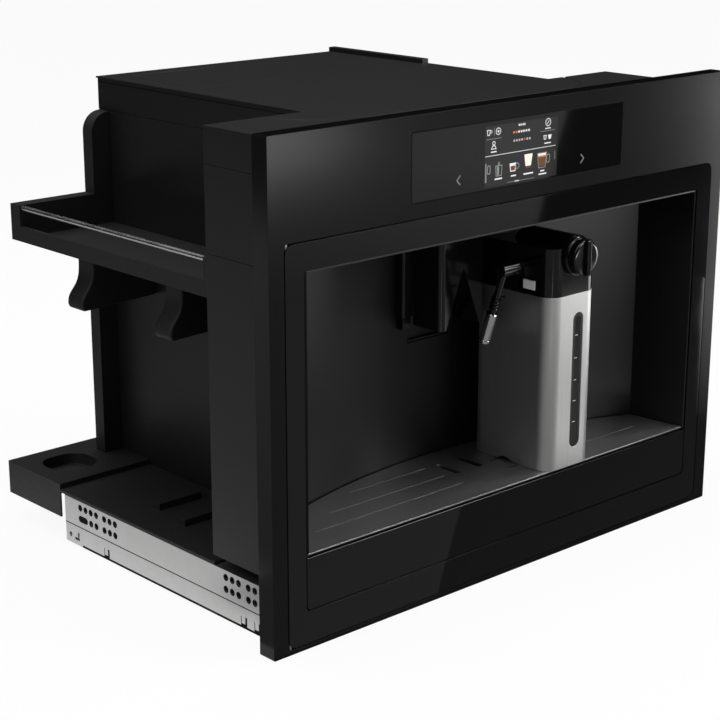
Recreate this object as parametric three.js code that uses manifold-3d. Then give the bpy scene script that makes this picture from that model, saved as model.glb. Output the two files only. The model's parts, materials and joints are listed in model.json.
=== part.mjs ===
// A built-in coffee machine for a 60 cm wide, 45 cm high kitchen niche.
// Millimetres, +Z up. The shapes are drawn from the front's lower edge: x from the middle,
// y from the front face into the cabinet, z from the front's lower edge.
// The exported group moves them so that its origin is on the cabinet floor, in the middle,
// in the plane of the cabinet's front edge.
import * as THREE from 'three';
import { mergeVertices } from 'three/addons/utils/BufferGeometryUtils.js';
import Module from 'manifold-3d';

const wasm = await Module();
wasm.setup();

// ---------------------------------------------------------------- sizes
const gap = 0.3; // between neighbours that touch
const panelGap = 1.2; // shadow line round the door, the tray and the control glass
const moulded = 2.5; // wall of a plastic casing
const folded = 1.5; // wall of a steel sheet

const sideMargin = 17; // from the front's edge to the casing behind it
const overhang = 3.7; // how far the front reaches below the cabinet floor

const door = {
  margin: 17.5, // from the front's side edge to the door's
  bottom: 5.5,
  topMargin: 91.5, // band above the door that holds the controls
  depth: 18,
  corner: 8,
  hingeCorner: 4, // sharper corners round the hinges, so that the door's edge can turn past them
  stile: 20,
  sill: 30,
  lintel: 24.5,
  pinRadius: 1.5,
  pinInset: 2.5,
  pinLength: 11,
};
// the front is as deep as the door in it and the shadow line behind the door
const front = { width: 597, height: 455, depth: door.depth + panelGap };
const niche = {
  wall: 1.8,
  taper: 8, // the side walls draw in by this towards the back
  depth: 120,
  backRadius: 610,
  floorDrop: 38, // from the tray's top to the floor under the tray
  lip: 1.5, // rim behind the front face
};
const tray = {
  frontBottom: 36.5,
  frontTop: 85,
  frontDepth: 5,
  frontCorner: 4,
  wall: 2,
  clearance: 1.6,
  grille: 2.6,
  slotWidth: 2,
  fingerSlot: { length: 31, width: 7, x: 15, y: 58 },
};
// rows of drain slots: distance from the front, inner and outer end from the middle
const drainRows = [
  { y: 36, inner: 31, outer: 221 },
  { y: 62, inner: 31, outer: 181 },
  { y: 89, inner: 31, outer: 131 },
];
const controls = { width: 278, height: 61, topMargin: 15, depth: 3.2, corner: 1.5 };
const display = {
  width: 96,
  height: 54,
  depth: 9,
  lift: 1.5, // its lower edge above the glass's
  ear: 7, // fixing ear on each side
  earBehind: 2,
  earThickness: 2,
  plug: { half: 20, z: 18, height: 12, proud: 3 }, // connector block at its back
};

const casing = {
  short: 15, // its rear wall stands this far in front of the niche's back
  bottom: 63,
  topEnd: 46, // from its top's right end to the right side
  seam: 0.6, // gap round the top cover's tongue
  notch: 5,
  groove: { z: 339.6, height: 1.2, depth: 0.7 }, // joint line along each side
};
// the top cover's tongue, which reaches forward into the casing's top with rounded corners
const tongue = { pastLeft: 45, pastRight: 21, cornerX: 71, cornerY: 60 };
// the body stands between the storage bay on the left and the water tank's bay on the right
const body = {
  bay: 111.5,
  tankBay: 133.5,
  rear: 423,
  coverHeight: 32.5,
  coverLip: 1.6,
  lipReach: 1.2,
};
const machineTop = 5; // from the front's upper edge down to the top cover
const rearStrip = { width: 9, start: 274 }; // raised strip along the top cover's right edge
const base = {
  side: 18.5, // from the front's edge to the tray's outer face
  bottom: 25.6,
  top: 60.6,
  rear: 452,
  ledge: 55,
  ledgeThickness: 3,
  stepY: 356,
  recess: { x: 63, width: 52, y: 405, length: 50, corner: 20, depth: 12 },
  skin: 1.9, // what is left of the side outside the rails
  ribs: [{ x0: 57, x1: 108, y: 247 }, { x0: 50, x1: 105, y: 197 }], // x from the front's left edge
  ribWidth: 12,
  ribHeight: 7,
};
const rail = {
  width: 19.6,
  web: 1.6,
  seam: 24.3,
  top: 51.8,
  rear: 348,
  front: 24,
  flangeRear: 321,
  running: 0.6,
  holeRadius: 2.5,
  holePitch: 9.1,
  holeRows: [45, 33.5],
  holeGroups: [{ first: 293.5, count: 4 }, { first: 261.5, count: 3 }, { first: 71, count: 3 },
    { first: 39, count: 3 }],
  keyhole: { y: 340, z: 12.4 },
  tabs: [{ y: 326, width: 3, low: 9, high: 17 }, { y: 329, width: 7, low: 9, high: 11.5 },
    { y: 277, width: 3, low: 7.5, high: 19 }, { y: 64, width: 3, low: 7.5, high: 19 },
    { y: 45, width: 3, low: 7.5, high: 19 }], // slots in the fixed rail's lower half
};
const shelf = {
  bottom: 300,
  floor: 4,
  lipTop: 315,
  lipWall: 4,
  backTop: 336,
  backDepth: 16,
  backY: 404,
  postWidth: 22,
  postDrop: 0.5, // from the top cover's skirt down to the post's top
  postRadius: 22,
  rodRadius: 2.5,
  rodHeight: 333,
};
const hook = { depth: 26, foot: 238, stem: 35, reach: 14, inset: 54 };
const hookPlaces = { hook_front: 191, hook_rear: 334 };

const spout = {
  width: 62,
  front: 72,
  depth: 36.5,
  bottom: 229,
  height: 106,
  notchHalf: 22.5, // half the width of the V between its legs
  notchHeight: 60,
  wall: 2.2,
  corner: 7,
  foot: 2, // rounding under each leg
  nozzleRadius: 2.5,
  nozzleApart: 51,
  nozzleBehind: 15, // from the cover's front to the outlets
};
const guide = { width: 57, bottom: 208, depth: 6.5 };
const column = { left: -44.5, right: -29, bottom: 238, depth: 9 };
const dock = { left: 46.5, right: 168.5, bottom: 270, depth: 6, port: 30 }; // port above its lower edge

const carafe = {
  x: 77.25, // centre
  width: 66.5,
  depth: 102,
  front: -1,
  height: 174,
  corner: 15,
  wall: 1.2,
  jarWall: 2,
  window: { x: 6.3, width: 14, bottom: 19, top: 155 },
  arch: { y: 54, half: 15, height: 3.4 }, // low arch under each side
};
const lid = { height: 46.7, wall: 2.4, domeRadius: 20, knobHeight: 37.5, domeDepth: 62 };
const knob = { radius: 19, depth: 17, grip: 6, skirt: 4 };
const milk = {
  y: 30,
  drop: 28.5, // pivot height above the lid's lower edge
  arm: 32.5, // from the lid's side to the tube
  elbowRadius: 6.5,
  tubeRadius: 3,
  tubeLength: 45,
  lean: 18, // degrees, towards the back
  nozzleRadius: 5.5,
  nozzleLength: 34,
};
const lidButton = { y: 20, length: 15, height: 9, z: 5, proud: 0.8, pocket: 5, wall: 1 };

// behind: how far each piece stands behind the bulkhead's rear face
const infuser = { width: 110, behind: 10.6, depth: 112, bottom: 138, height: 150, wall: 4 };
const chamber = { radius: 30, height: 62, piston: 24 };
const guideBars = { x: 44, radius: 3 }; // the chamber's yoke slides on these
const grounds = { width: 150, behind: 6.6, depth: 120, bottom: 66, height: 62, wall: 2 };
const hopper = { width: 112, depth: 116, rear: 402, height: 74, wall: 2.4, throat: 26 };
const grinder = { radius: 40, height: 66, burr: 27, motorRadius: 31, motorHeight: 78 };
const pump = { x: 112, behind: 40.6, z: 92, radius: 22, length: 112, stub: 4 };
const heater = { width: 62, depth: 104, height: 88, bottom: 226, behind: 14.6 };
const boiler = { radius: 34, height: 112, y: 318, bottom: 226 };
const board = { thickness: 1.6, bottom: 236, height: 150, behind: 18.6, depth: 120 };
const fan = { x: 104, size: 60, depth: 16, z: 378, rotor: 24, hub: 9 };
const vent = { x: -120, width: 6, pitch: 12, count: 9, bottom: 330, top: 390 }; // rear wall slots
const inlet = { x: -96, width: 48, height: 28, depth: 22, z: 92 };
const rocker = { x: -40, width: 13, height: 20 };
// ahead: how far the tank reaches in front of the niche's back
const tank = { width: 112, ahead: 4, depth: 150, height: 214, wall: 2.4, lidHeight: 14 };

// ------------------------------------------------- sizes that follow from these
const half = front.width / 2;
const baseHalf = half - base.side;
const doorHalf = half - door.margin;
const doorTop = front.height - door.topMargin;
const openHalf = doorHalf - door.stile; // opening in the door
const openTop = doorTop - door.lintel;
const openBottom = door.bottom + door.sill;
const casingLeft = -half + sideMargin;
const casingRight = half - sideMargin;
const bodyLeft = casingLeft + body.bay;
const bodyRight = casingRight - body.tankBay;
const topZ = front.height - machineTop;
const coverZ = topZ - body.coverHeight; // lower edge of the top cover's skirt
const grilleTop = tray.frontTop + gap + tray.grille;
const linerHalf = openHalf - gap - niche.wall; // inside, at the rim
const linerTop = openTop - gap - niche.wall;
const linerFloor = grilleTop - niche.floorDrop - niche.wall * 2;
const bulkheadY = niche.depth + niche.wall + guide.depth + gap * 2 + 1;
const insideY = bulkheadY + folded;
const casingRear = niche.depth - casing.short;
const infuserFront = insideY + infuser.behind;
const groundsFront = insideY + grounds.behind;
const boardFront = insideY + board.behind;
const heaterFront = insideY + heater.behind;
const pumpY = insideY + pump.behind;
const tankFront = niche.depth - tank.ahead;
const insideLeft = bodyLeft + moulded;
const insideRight = bodyRight - moulded;
const portZ = dock.bottom + dock.port;
const degree = Math.PI / 180;

// ---------------------------------------------------------------- finishes
const finish = (color, roughness, metalness) =>
  new THREE.MeshStandardMaterial({ color, roughness, metalness });
const satinBlack = finish('#1b1b1c', 0.45, 0.1);
const satinPlastic = finish('#1a1a1b', 0.5, 0);
const blackGlass = finish('#0a0a0b', 0.06, 0);
const screenGlass = finish('#15161a', 0.1, 0);
const blackPlastic = finish('#202122', 0.55, 0);
const glossBlack = finish('#101011', 0.15, 0);
const brushedSteel = finish('#b4b4b2', 0.32, 1);
const zincSteel = finish('#b9bbbd', 0.4, 0.9);
const chromed = finish('#dcdcde', 0.08, 1);
const clearPlastic = finish('#9fb2ba', 0.12, 0);
const smokedPlastic = finish('#4b4d50', 0.15, 0);
const castAlloy = finish('#8e9092', 0.5, 0.8);
const greyPlastic = finish('#5b5d60', 0.6, 0);
const circuitGreen = finish('#1f5a3a', 0.5, 0);
const ceramic = finish('#e6e2d8', 0.4, 0);
const paleGrey = finish('#c9cacb', 0.4, 0);
const siliconeHose = finish('#d8d8d4', 0.5, 0);

// ---------------------------------------------------------------- solids
// A closed three.js geometry as a solid that can be cut and joined.
function solidOf(geometry) {
  geometry.deleteAttribute('normal');
  geometry.deleteAttribute('uv');
  const merged = mergeVertices(geometry, 1e-4);
  const index = merged.index.array;
  const faces = [];
  for (let i = 0; i < index.length; i += 3) {
    const [a, b, c] = [index[i], index[i + 1], index[i + 2]];
    if (a !== b && b !== c && c !== a) faces.push(a, b, c);
  }
  const vertProperties = merged.attributes.position.array;
  const triVerts = new Uint32Array(faces);
  return new wasm.Manifold(new wasm.Mesh({ numProp: 3, vertProperties, triVerts }));
}

function geometryOf(solid) {
  const mesh = solid.getMesh();
  const geometry = new THREE.BufferGeometry();
  geometry.setAttribute('position', new THREE.BufferAttribute(mesh.vertProperties, 3));
  geometry.setIndex(new THREE.BufferAttribute(mesh.triVerts, 1));
  geometry.computeVertexNormals();
  return geometry;
}

const cut = (solid, ...tools) => tools.reduce((left, tool) => left.subtract(tool), solid);
const join = (...solids) => solids.reduce((sum, solid) => sum.add(solid));

function box(x0, x1, y0, y1, z0, z1) {
  const geometry = new THREE.BoxGeometry(x1 - x0, y1 - y0, z1 - z0);
  return solidOf(geometry.translate((x0 + x1) / 2, (y0 + y1) / 2, (z0 + z1) / 2));
}

// An outline drawn in the plane across an axis, and drawn out along it from one place to the next.
// Across z the outline is (x, y), across y it is (x, z), and across x it is (y, z).
const acrossY = new THREE.Matrix4().makeBasis(
  new THREE.Vector3(1, 0, 0), new THREE.Vector3(0, 0, 1), new THREE.Vector3(0, -1, 0));
const acrossX = new THREE.Matrix4().makeBasis(
  new THREE.Vector3(0, 1, 0), new THREE.Vector3(0, 0, 1), new THREE.Vector3(1, 0, 0));

function prism(axis, outline, from, to, curveSegments = 3) {
  const options = { depth: to - from, bevelEnabled: false, curveSegments };
  const geometry = new THREE.ExtrudeGeometry(outline, options);
  if (axis === 'z') geometry.translate(0, 0, from);
  if (axis === 'y') geometry.applyMatrix4(acrossY).translate(0, to, 0);
  if (axis === 'x') geometry.applyMatrix4(acrossX).translate(from, 0, 0);
  return solidOf(geometry);
}

// A rectangle with round corners; its corners can be given one by one, from low-low round to low-high.
function roundRect(u0, u1, v0, v1, radius) {
  const [a, b, c, d] = Array.isArray(radius) ? radius : [radius, radius, radius, radius];
  const shape = new THREE.Shape();
  shape.moveTo(u0 + a, v0);
  shape.lineTo(u1 - b, v0);
  if (b) shape.absarc(u1 - b, v0 + b, b, -Math.PI / 2, 0, false);
  shape.lineTo(u1, v1 - c);
  if (c) shape.absarc(u1 - c, v1 - c, c, 0, Math.PI / 2, false);
  shape.lineTo(u0 + d, v1);
  if (d) shape.absarc(u0 + d, v1 - d, d, Math.PI / 2, Math.PI, false);
  shape.lineTo(u0, v0 + a);
  if (a) shape.absarc(u0 + a, v0 + a, a, Math.PI, Math.PI * 1.5, false);
  return shape;
}

function outlineOf(points) {
  return new THREE.Shape(points.map(([u, v]) => new THREE.Vector2(u, v)));
}

// A round bar from one point to another.
function rod(from, to, radius, segments = 16, endRadius = radius) {
  const start = new THREE.Vector3(...from);
  const along = new THREE.Vector3(...to).sub(start);
  const geometry = new THREE.CylinderGeometry(endRadius, radius, along.length(), segments);
  geometry.translate(0, along.length() / 2, 0);
  const turn = new THREE.Quaternion().setFromUnitVectors(new THREE.Vector3(0, 1, 0), along.normalize());
  return solidOf(geometry.applyQuaternion(turn).translate(...from));
}

// A round section drawn along a smooth curve, with closed ends.
function hose(points, radius, steps, sides) {
  const curve = new THREE.CatmullRomCurve3(points.map((p) => new THREE.Vector3(...p)));
  const section = new THREE.Shape();
  section.absarc(0, 0, radius, 0, Math.PI * 2, false);
  const options = { steps, extrudePath: curve, curveSegments: sides };
  return solidOf(new THREE.ExtrudeGeometry(section, options));
}

// A profile of (radius, height) turned round an upright axis.
function turned(profile, x, y, z, segments = 28) {
  const points = profile.map(([r, h]) => new THREE.Vector2(r, h));
  const geometry = new THREE.LatheGeometry(points, segments);
  return solidOf(geometry.rotateX(Math.PI / 2).translate(x, y, z));
}

const machine = new THREE.Group();
machine.position.set(0, -front.depth, -overhang);

function piece(name, solid, material) {
  const mesh = new THREE.Mesh(geometryOf(solid), material);
  mesh.name = name;
  machine.add(mesh);
}

// ---------------------------------------------------------------- pull-out rails
// side is -1 on the left and 1 on the right; distances are from the middle outwards.
function sideBox(side, inner, outer, y0, y1, z0, z1) {
  return side < 0 ? box(-outer, -inner, y0, y1, z0, z1) : box(inner, outer, y0, y1, z0, z1);
}

const railInner = baseHalf - rail.width;
const railFloor = overhang;
const middleInner = railInner + rail.web + rail.running;
const middleOuter = baseHalf - rail.web - rail.running;

function fixedRail(side) {
  const channel = join(
    sideBox(side, railInner, baseHalf, rail.front, rail.flangeRear, railFloor, railFloor + rail.web),
    sideBox(side, railInner, railInner + rail.web, rail.front, rail.rear, railFloor, rail.seam),
    sideBox(side, baseHalf - rail.web, baseHalf, rail.front, rail.rear, railFloor, rail.seam));
  const past = baseHalf + 1;
  const web = baseHalf - rail.web - 1;
  const slots = rail.tabs.map(({ y, width, low, high }) =>
    sideBox(side, web, past, y - width / 2, y + width / 2, low, high));
  const { y, z } = rail.keyhole;
  const keyhole = rod([side * web, y, z], [side * past, y, z], rail.holeRadius, 12);
  return cut(channel, keyhole, ...slots);
}

function middleRail(side) {
  const middle = (middleInner + middleOuter) / 2;
  const low = railFloor + rail.web + rail.running;
  const high = rail.top - rail.web - rail.running;
  return join(
    sideBox(side, middle - 1.5, middle + 1.5, rail.front, rail.rear, low, high),
    sideBox(side, middleInner, middleOuter, rail.front, rail.rear, low, low + 10),
    sideBox(side, middleInner, middleOuter, rail.front, rail.rear, high - 10, high));
}

function movingRail(side) {
  const low = rail.seam + gap;
  const channel = join(
    sideBox(side, railInner, baseHalf, rail.front, rail.rear, rail.top - rail.web, rail.top),
    sideBox(side, railInner, railInner + rail.web, rail.front, rail.rear, low, rail.top),
    sideBox(side, baseHalf - rail.web, baseHalf, rail.front, rail.rear, low, rail.top));
  const through = (y, z) => rod(
    [side * (baseHalf - rail.web - 1), y, z], [side * (baseHalf + 1), y, z], rail.holeRadius, 14);
  const holes = rail.holeGroups.flatMap(({ first, count }) => rail.holeRows.flatMap((z) =>
    Array.from({ length: count }, (_, i) => through(first + i * rail.holePitch, z))));
  return cut(channel, ...holes);
}

for (const [word, side] of [['left', -1], ['right', 1]]) {
  piece(`${word}_rail_fixed`, fixedRail(side), zincSteel);
  piece(`${word}_rail_middle`, middleRail(side), zincSteel);
  piece(`${word}_rail_moving`, movingRail(side), zincSteel);
}

// ---------------------------------------------------------------- base tray
// A moulded floor that carries the machine between the rails; its edge ledges cover them.
function baseTray() {
  const slabHalf = railInner - gap;
  const start = front.depth + gap;
  const frontTop = linerFloor - gap * 3; // low enough for the niche above it
  const ledgeLow = base.ledge - base.ledgeThickness;
  const walls = join(
    box(-slabHalf, slabHalf, start, base.stepY, base.bottom, frontTop),
    box(-slabHalf, slabHalf, insideY, base.stepY, base.bottom, base.ledge),
    box(-baseHalf, bodyLeft, casingRear + gap, base.stepY, ledgeLow, base.ledge),
    box(bodyRight, baseHalf, casingRear + gap, base.stepY, ledgeLow, base.ledge),
    box(-baseHalf, baseHalf, base.stepY, base.rear, base.bottom, base.top));
  const under = moulded;
  const hollows = [
    box(-slabHalf + under, slabHalf - under, insideY + under, base.stepY, base.bottom - 1,
      base.ledge - under),
    box(-slabHalf + under, slabHalf - under, start + under, insideY, base.bottom - 1, frontTop - under),
    box(-baseHalf + under, baseHalf - under, base.stepY + under, base.rear - under,
      base.bottom - 1, base.top - base.recess.depth - under),
  ];
  const r = base.recess;
  const centre = -half + r.x;
  const scoop = prism('z', roundRect(centre - r.width / 2, centre + r.width / 2,
    r.y - r.length / 2, r.y + r.length / 2, r.corner), base.top - r.depth, base.top + 1, 6);
  // the rails' middle channels pass through the rear part when the machine is pulled out
  const railRuns = [-1, 1].map((side) => sideBox(side, middleInner - gap, baseHalf - base.skin,
    base.stepY - 1, base.rear + 1, base.bottom - 1, rail.top - rail.web));
  const ribs = base.ribs.map(({ x0, x1, y }) => box(x0 - half, x1 - half, y - base.ribWidth / 2,
    y + base.ribWidth / 2, base.ledge - 0.5, base.ledge + base.ribHeight));
  return join(cut(walls, scoop, ...hollows, ...railRuns), ...ribs);
}
piece('base_tray', baseTray(), blackPlastic);

// ---------------------------------------------------------------- front
const pinX = -doorHalf + door.pinInset;
const pinY = door.pinInset;
const upperPin = [doorTop - door.pinLength / 2, doorTop + door.pinLength / 2];
const lowerPin = [1, 1 + door.pinLength];
const glassTop = front.height - controls.topMargin;
const glassBottom = glassTop - controls.height;
const displayBottom = glassBottom + display.lift;

function pinHole([z0, z1]) {
  return rod([pinX, pinY, z0 - gap], [pinX, pinY, z1 + gap], door.pinRadius + gap, 12);
}

function frontFrame() {
  const plate = prism('y', roundRect(-half, half, 0, front.height, 1.5), 0, front.depth, 2);
  const free = door.corner + panelGap;
  const opening = prism('y', roundRect(-doorHalf - panelGap, doorHalf + panelGap, door.bottom - panelGap,
    doorTop + panelGap, [door.hingeCorner, free, free, door.hingeCorner]), -1, front.depth + 1);
  const pocket = prism('y', roundRect(-controls.width / 2 - gap, controls.width / 2 + gap,
    glassBottom - gap, glassTop + gap, controls.corner), -1, controls.depth + gap, 3);
  const bayHalf = display.width / 2 + display.ear + 1;
  const bay = box(-bayHalf, bayHalf, controls.depth, front.depth + 1, displayBottom - 1,
    displayBottom + display.height + 1);
  return cut(plate, opening, pocket, bay, pinHole(upperPin), pinHole(lowerPin));
}
piece('front_frame', frontFrame(), satinBlack);

piece('control_glass', prism('y', roundRect(-controls.width / 2, controls.width / 2,
  glassBottom, glassTop, controls.corner), 0, controls.depth, 3), blackGlass);

function displayModule() {
  const { width, height, depth, ear, earBehind, earThickness, plug } = display;
  const y = controls.depth + gap;
  const top = displayBottom + height;
  const plugLow = displayBottom + plug.z;
  return join(
    box(-width / 2, width / 2, y, y + depth, displayBottom, top),
    box(-width / 2 - ear, width / 2 + ear, y + earBehind, y + earBehind + earThickness, displayBottom, top),
    box(-plug.half, plug.half, y + depth - 1, front.depth + plug.proud, plugLow, plugLow + plug.height));
}
piece('display_module', displayModule(), screenGlass);

for (const [name, [z0, z1]] of [['hinge_pin_upper', upperPin], ['hinge_pin_lower', lowerPin]]) {
  piece(name, rod([pinX, pinY, z0], [pinX, pinY, z1], door.pinRadius, 12), zincSteel);
}

// ---------------------------------------------------------------- casing behind the front
const casingStart = front.depth + gap;
const casingTop = coverZ - gap;
const capRight = casingRight - casing.topEnd;

// Shallow joint line in a side wall; edge is the wall's outer face and inwards the way into it.
function sideGroove(edge, inwards, rear) {
  const { z, height, depth } = casing.groove;
  const [x0, x1] = [edge - inwards, edge + inwards * depth].sort((a, b) => a - b);
  return box(x0, x1, casingStart - 1, rear + 1, z, z + height);
}

function casingLeftShell() {
  const side = box(casingLeft, casingLeft + moulded, casingStart, casingRear, casing.bottom, casingTop);
  const rear = box(casingLeft, bodyLeft - gap, casingRear - moulded, casingRear, casing.bottom, casingTop);
  return cut(join(side, rear), sideGroove(casingLeft, 1, casingRear));
}
piece('casing_left', casingLeftShell(), satinPlastic);

function casingRightShell() {
  const rearFace = casingRear + moulded; // the niche reaches further back here than on the left
  const side = box(casingRight - moulded, casingRight, casingStart, rearFace, casing.bottom, casingTop);
  const rear = box(bodyRight + gap, casingRight, casingRear, rearFace, casing.bottom, casingTop);
  const shoulder = box(capRight - 24, casingRight, casingStart, rearFace, casingTop - moulded, casingTop);
  return cut(join(side, rear, shoulder), sideGroove(casingRight, -1, rearFace));
}
piece('casing_right', casingRightShell(), satinPlastic);

// The top cover lies over the main body and reaches forward with a wide tongue.
// inset draws the whole outline inwards.
function coverOutline(inset) {
  const rear = body.rear - inset;
  const back = casingRear - inset;
  const leftArc = bodyLeft - tongue.pastLeft + tongue.cornerX;
  const rightArc = bodyRight + tongue.pastRight - tongue.cornerX;
  const [rx, ry] = [tongue.cornerX - inset, tongue.cornerY - inset];
  const shape = new THREE.Shape();
  shape.moveTo(bodyRight - inset, rear);
  shape.lineTo(bodyLeft + inset, rear);
  shape.lineTo(bodyLeft + inset, back);
  const drop = Math.asin(inset / ry); // the arcs start and end on the line of the rear edge
  shape.absellipse(leftArc, casingRear, rx, ry, Math.PI + drop, Math.PI * 1.5, false);
  shape.absellipse(rightArc, casingRear, rx, ry, Math.PI * 1.5, Math.PI * 2 - drop, false);
  shape.lineTo(bodyRight - inset, back);
  return shape;
}

const hopperLeft = bodyLeft + 22;
const hopperRight = hopperLeft + hopper.width;
const hopperFront = hopper.rear - hopper.depth;
const beanOpening = 8; // the lid's rim laps over the opening by this
const lidSwing = 1.4; // room behind the bean lid for its rear edge to turn in
const lidPlate = 1; // thickness of the bean lid

function topCover() {
  const shell = prism('z', coverOutline(0), coverZ, topZ, 9);
  const hollow = prism('z', coverOutline(moulded), coverZ - 1, topZ - moulded, 6);
  const opening = prism('z', roundRect(hopperLeft + beanOpening, hopperRight - beanOpening,
    hopperFront + beanOpening, hopper.rear - beanOpening, 8), topZ - moulded - 1, topZ + 1, 2);
  const sunk = prism('z', roundRect(hopperLeft - gap, hopperRight + gap, hopperFront - gap,
    hopper.rear + lidSwing, 10), topZ - lidPlate - gap, topZ + 1, 2);
  const strip = box(bodyRight - rearStrip.width, bodyRight, rearStrip.start, body.rear,
    topZ - 0.5, topZ + machineTop);
  const reach = body.lipReach;
  const lip = box(bodyLeft - reach, bodyRight + reach, casingRear, body.rear + reach,
    topZ - body.coverLip, topZ);
  return join(cut(join(shell, lip), hollow, opening, sunk), strip);
}
piece('top_cover', topCover(), satinPlastic);

// The casing's own top goes round the tongue; a notch marks the end of the seam on the right.
function casingTopShell() {
  const outer = box(casingLeft, capRight, casingStart, casingRear, coverZ, topZ);
  const wall = moulded;
  const hollow = box(casingLeft + wall, capRight - wall, casingStart + wall, casingRear - wall,
    coverZ - 1, topZ - wall);
  const grow = casing.seam;
  const clear = prism('z', coverOutline(-grow), coverZ - 1, topZ + 1, 9);
  const end = bodyRight + tongue.pastRight + grow;
  const notch = prism('z', outlineOf([[end - 1, casingRear - 9], [end, casingRear - 9],
    [end + casing.notch, casingRear + 1], [end - 1, casingRear + 1]]), coverZ - 1, topZ + 1);
  const rim = prism('z', coverOutline(-grow - wall), coverZ, topZ - 1, 6);
  const rimOnly = rim.intersect(box(casingLeft, capRight, casingStart, casingRear, coverZ, topZ));
  return cut(join(cut(outer, hollow), rimOnly), clear, notch);
}
piece('casing_top', casingTopShell(), satinPlastic);

// The lid over the beans sits in the cover's sunk rim and turns up at its rear edge.
function beanLid() {
  const low = topZ - lidPlate;
  const plate = prism('z', roundRect(hopperLeft, hopperRight, hopperFront, hopper.rear, 9), low, topZ, 2);
  const r = beanOpening + 1;
  const plug = prism('z', roundRect(hopperLeft + r, hopperRight - r, hopperFront + r, hopper.rear - r, 7),
    low - 5, low + 0.5, 2);
  const hollow = prism('z', roundRect(hopperLeft + r + 2, hopperRight - r - 2, hopperFront + r + 2,
    hopper.rear - r - 2, 5), low - 6, low - 0.5, 2);
  return cut(join(plate, plug), hollow);
}
piece('bean_lid', beanLid(), satinPlastic);

// ---------------------------------------------------------------- main body
const shellBottom = base.ledge + gap;
const shellTop = coverZ - gap;

function bodyShell() {
  const outer = box(bodyLeft, bodyRight, casingRear + gap, body.rear, shellBottom, shellTop);
  const hollow = box(insideLeft, insideRight, casingRear - 1, body.rear - moulded, shellBottom - 1,
    shellTop + 1);
  const clearStep = box(bodyLeft - 1, bodyRight + 1, base.stepY - gap, body.rear + 1, shellBottom - 1,
    base.top + gap);
  const fanHole = rod([fan.x, body.rear - moulded - 1, fan.z], [fan.x, body.rear + 1, fan.z],
    fan.rotor + 2, 24);
  const inletHole = box(inlet.x - inlet.width / 2 - gap, inlet.x + inlet.width / 2 + gap,
    body.rear - moulded - 1, body.rear + 1, inlet.z - gap, inlet.z + inlet.height + gap);
  const switchHole = box(rocker.x - rocker.width / 2 - gap, rocker.x + rocker.width / 2 + gap,
    body.rear - moulded - 1, body.rear + 1, inlet.z - gap, inlet.z + rocker.height + gap);
  const tankHole = rod([insideRight - 1, tankFront + 30, base.ledge + 30],
    [bodyRight + 1, tankFront + 30, base.ledge + 30], 7, 16);
  const vents = Array.from({ length: vent.count }, (_, i) => {
    const x = vent.x + i * vent.pitch;
    return box(x, x + vent.width, body.rear - moulded - 1, body.rear + 1, vent.bottom, vent.top);
  });
  return cut(outer, hollow, clearStep, fanHole, inletHole, switchHole, tankHole, ...vents);
}
piece('body_shell', bodyShell(), satinPlastic);

// Steel plate between the door and the works, with the coffee and steam outlets passing through.
function bulkhead() {
  const plate = box(insideLeft + gap, insideRight - gap, bulkheadY, insideY, shellBottom + gap, shellTop);
  const shelfTop = infuser.bottom - gap;
  const brewShelf = box(-infuser.width / 2 - 8, infuser.width / 2 + 8, bulkheadY + 0.5,
    infuserFront + infuser.depth, shelfTop - folded, shelfTop);
  const brewWindow = box(-infuser.width / 2 - 4, infuser.width / 2 + 4, bulkheadY - 1, insideY + 1,
    shelfTop, infuser.bottom + infuser.height + 4);
  const groundsWindow = box(-grounds.width / 2 - 4, grounds.width / 2 + 4, bulkheadY - 1, insideY + 1,
    grounds.bottom - 4, grounds.bottom + grounds.height + 2);
  const steam = rod([carafe.x, bulkheadY - 1, portZ], [carafe.x, insideY + 1, portZ], 7, 16);
  return cut(join(plate, brewShelf), brewWindow, groundsWindow, steam);
}
piece('bulkhead', bulkhead(), zincSteel);

// ---------------------------------------------------------------- left bay: shelf, rod and hooks
const bayRight = bodyLeft - gap;
const bayFront = casingRear + gap;

function sideShelf() {
  const backEnd = shelf.backY + shelf.backDepth;
  const post = bayRight - shelf.postWidth;
  const floor = box(-baseHalf, bayRight, bayFront, backEnd, shelf.bottom, shelf.bottom + shelf.floor);
  const lip = box(-baseHalf, -baseHalf + shelf.lipWall, bayFront, backEnd, shelf.bottom, shelf.lipTop);
  const back = box(-baseHalf, bayRight, shelf.backY, backEnd, shelf.bottom, shelf.backTop);
  const upper = prism('y', roundRect(post, bayRight, shelf.backTop - 1, coverZ - shelf.postDrop,
    [0, 0, 0, shelf.postRadius - 2]), shelf.backY, backEnd, 8);
  const lower = box(post, bayRight, shelf.backY, backEnd, base.top + gap, shelf.bottom + 1);
  const frontRib = box(-baseHalf, bayRight, bayFront, bayFront + 4, shelf.bottom, shelf.lipTop);
  const frontPost = box(-baseHalf, -baseHalf + 12, bayFront, bayFront + 6, shelf.bottom, shelf.backTop);
  const rodHole = rod([-baseHalf + 4, bayFront - 1, shelf.rodHeight],
    [-baseHalf + 4, shelf.backY + 6 + gap, shelf.rodHeight], shelf.rodRadius + gap, 16);
  return cut(join(floor, lip, back, upper, lower, frontRib, frontPost), rodHole);
}
piece('side_shelf', sideShelf(), blackPlastic);

piece('guard_rod', rod([-baseHalf + 4, bayFront, shelf.rodHeight],
  [-baseHalf + 4, shelf.backY + 6, shelf.rodHeight], shelf.rodRadius, 16), chromed);

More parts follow.
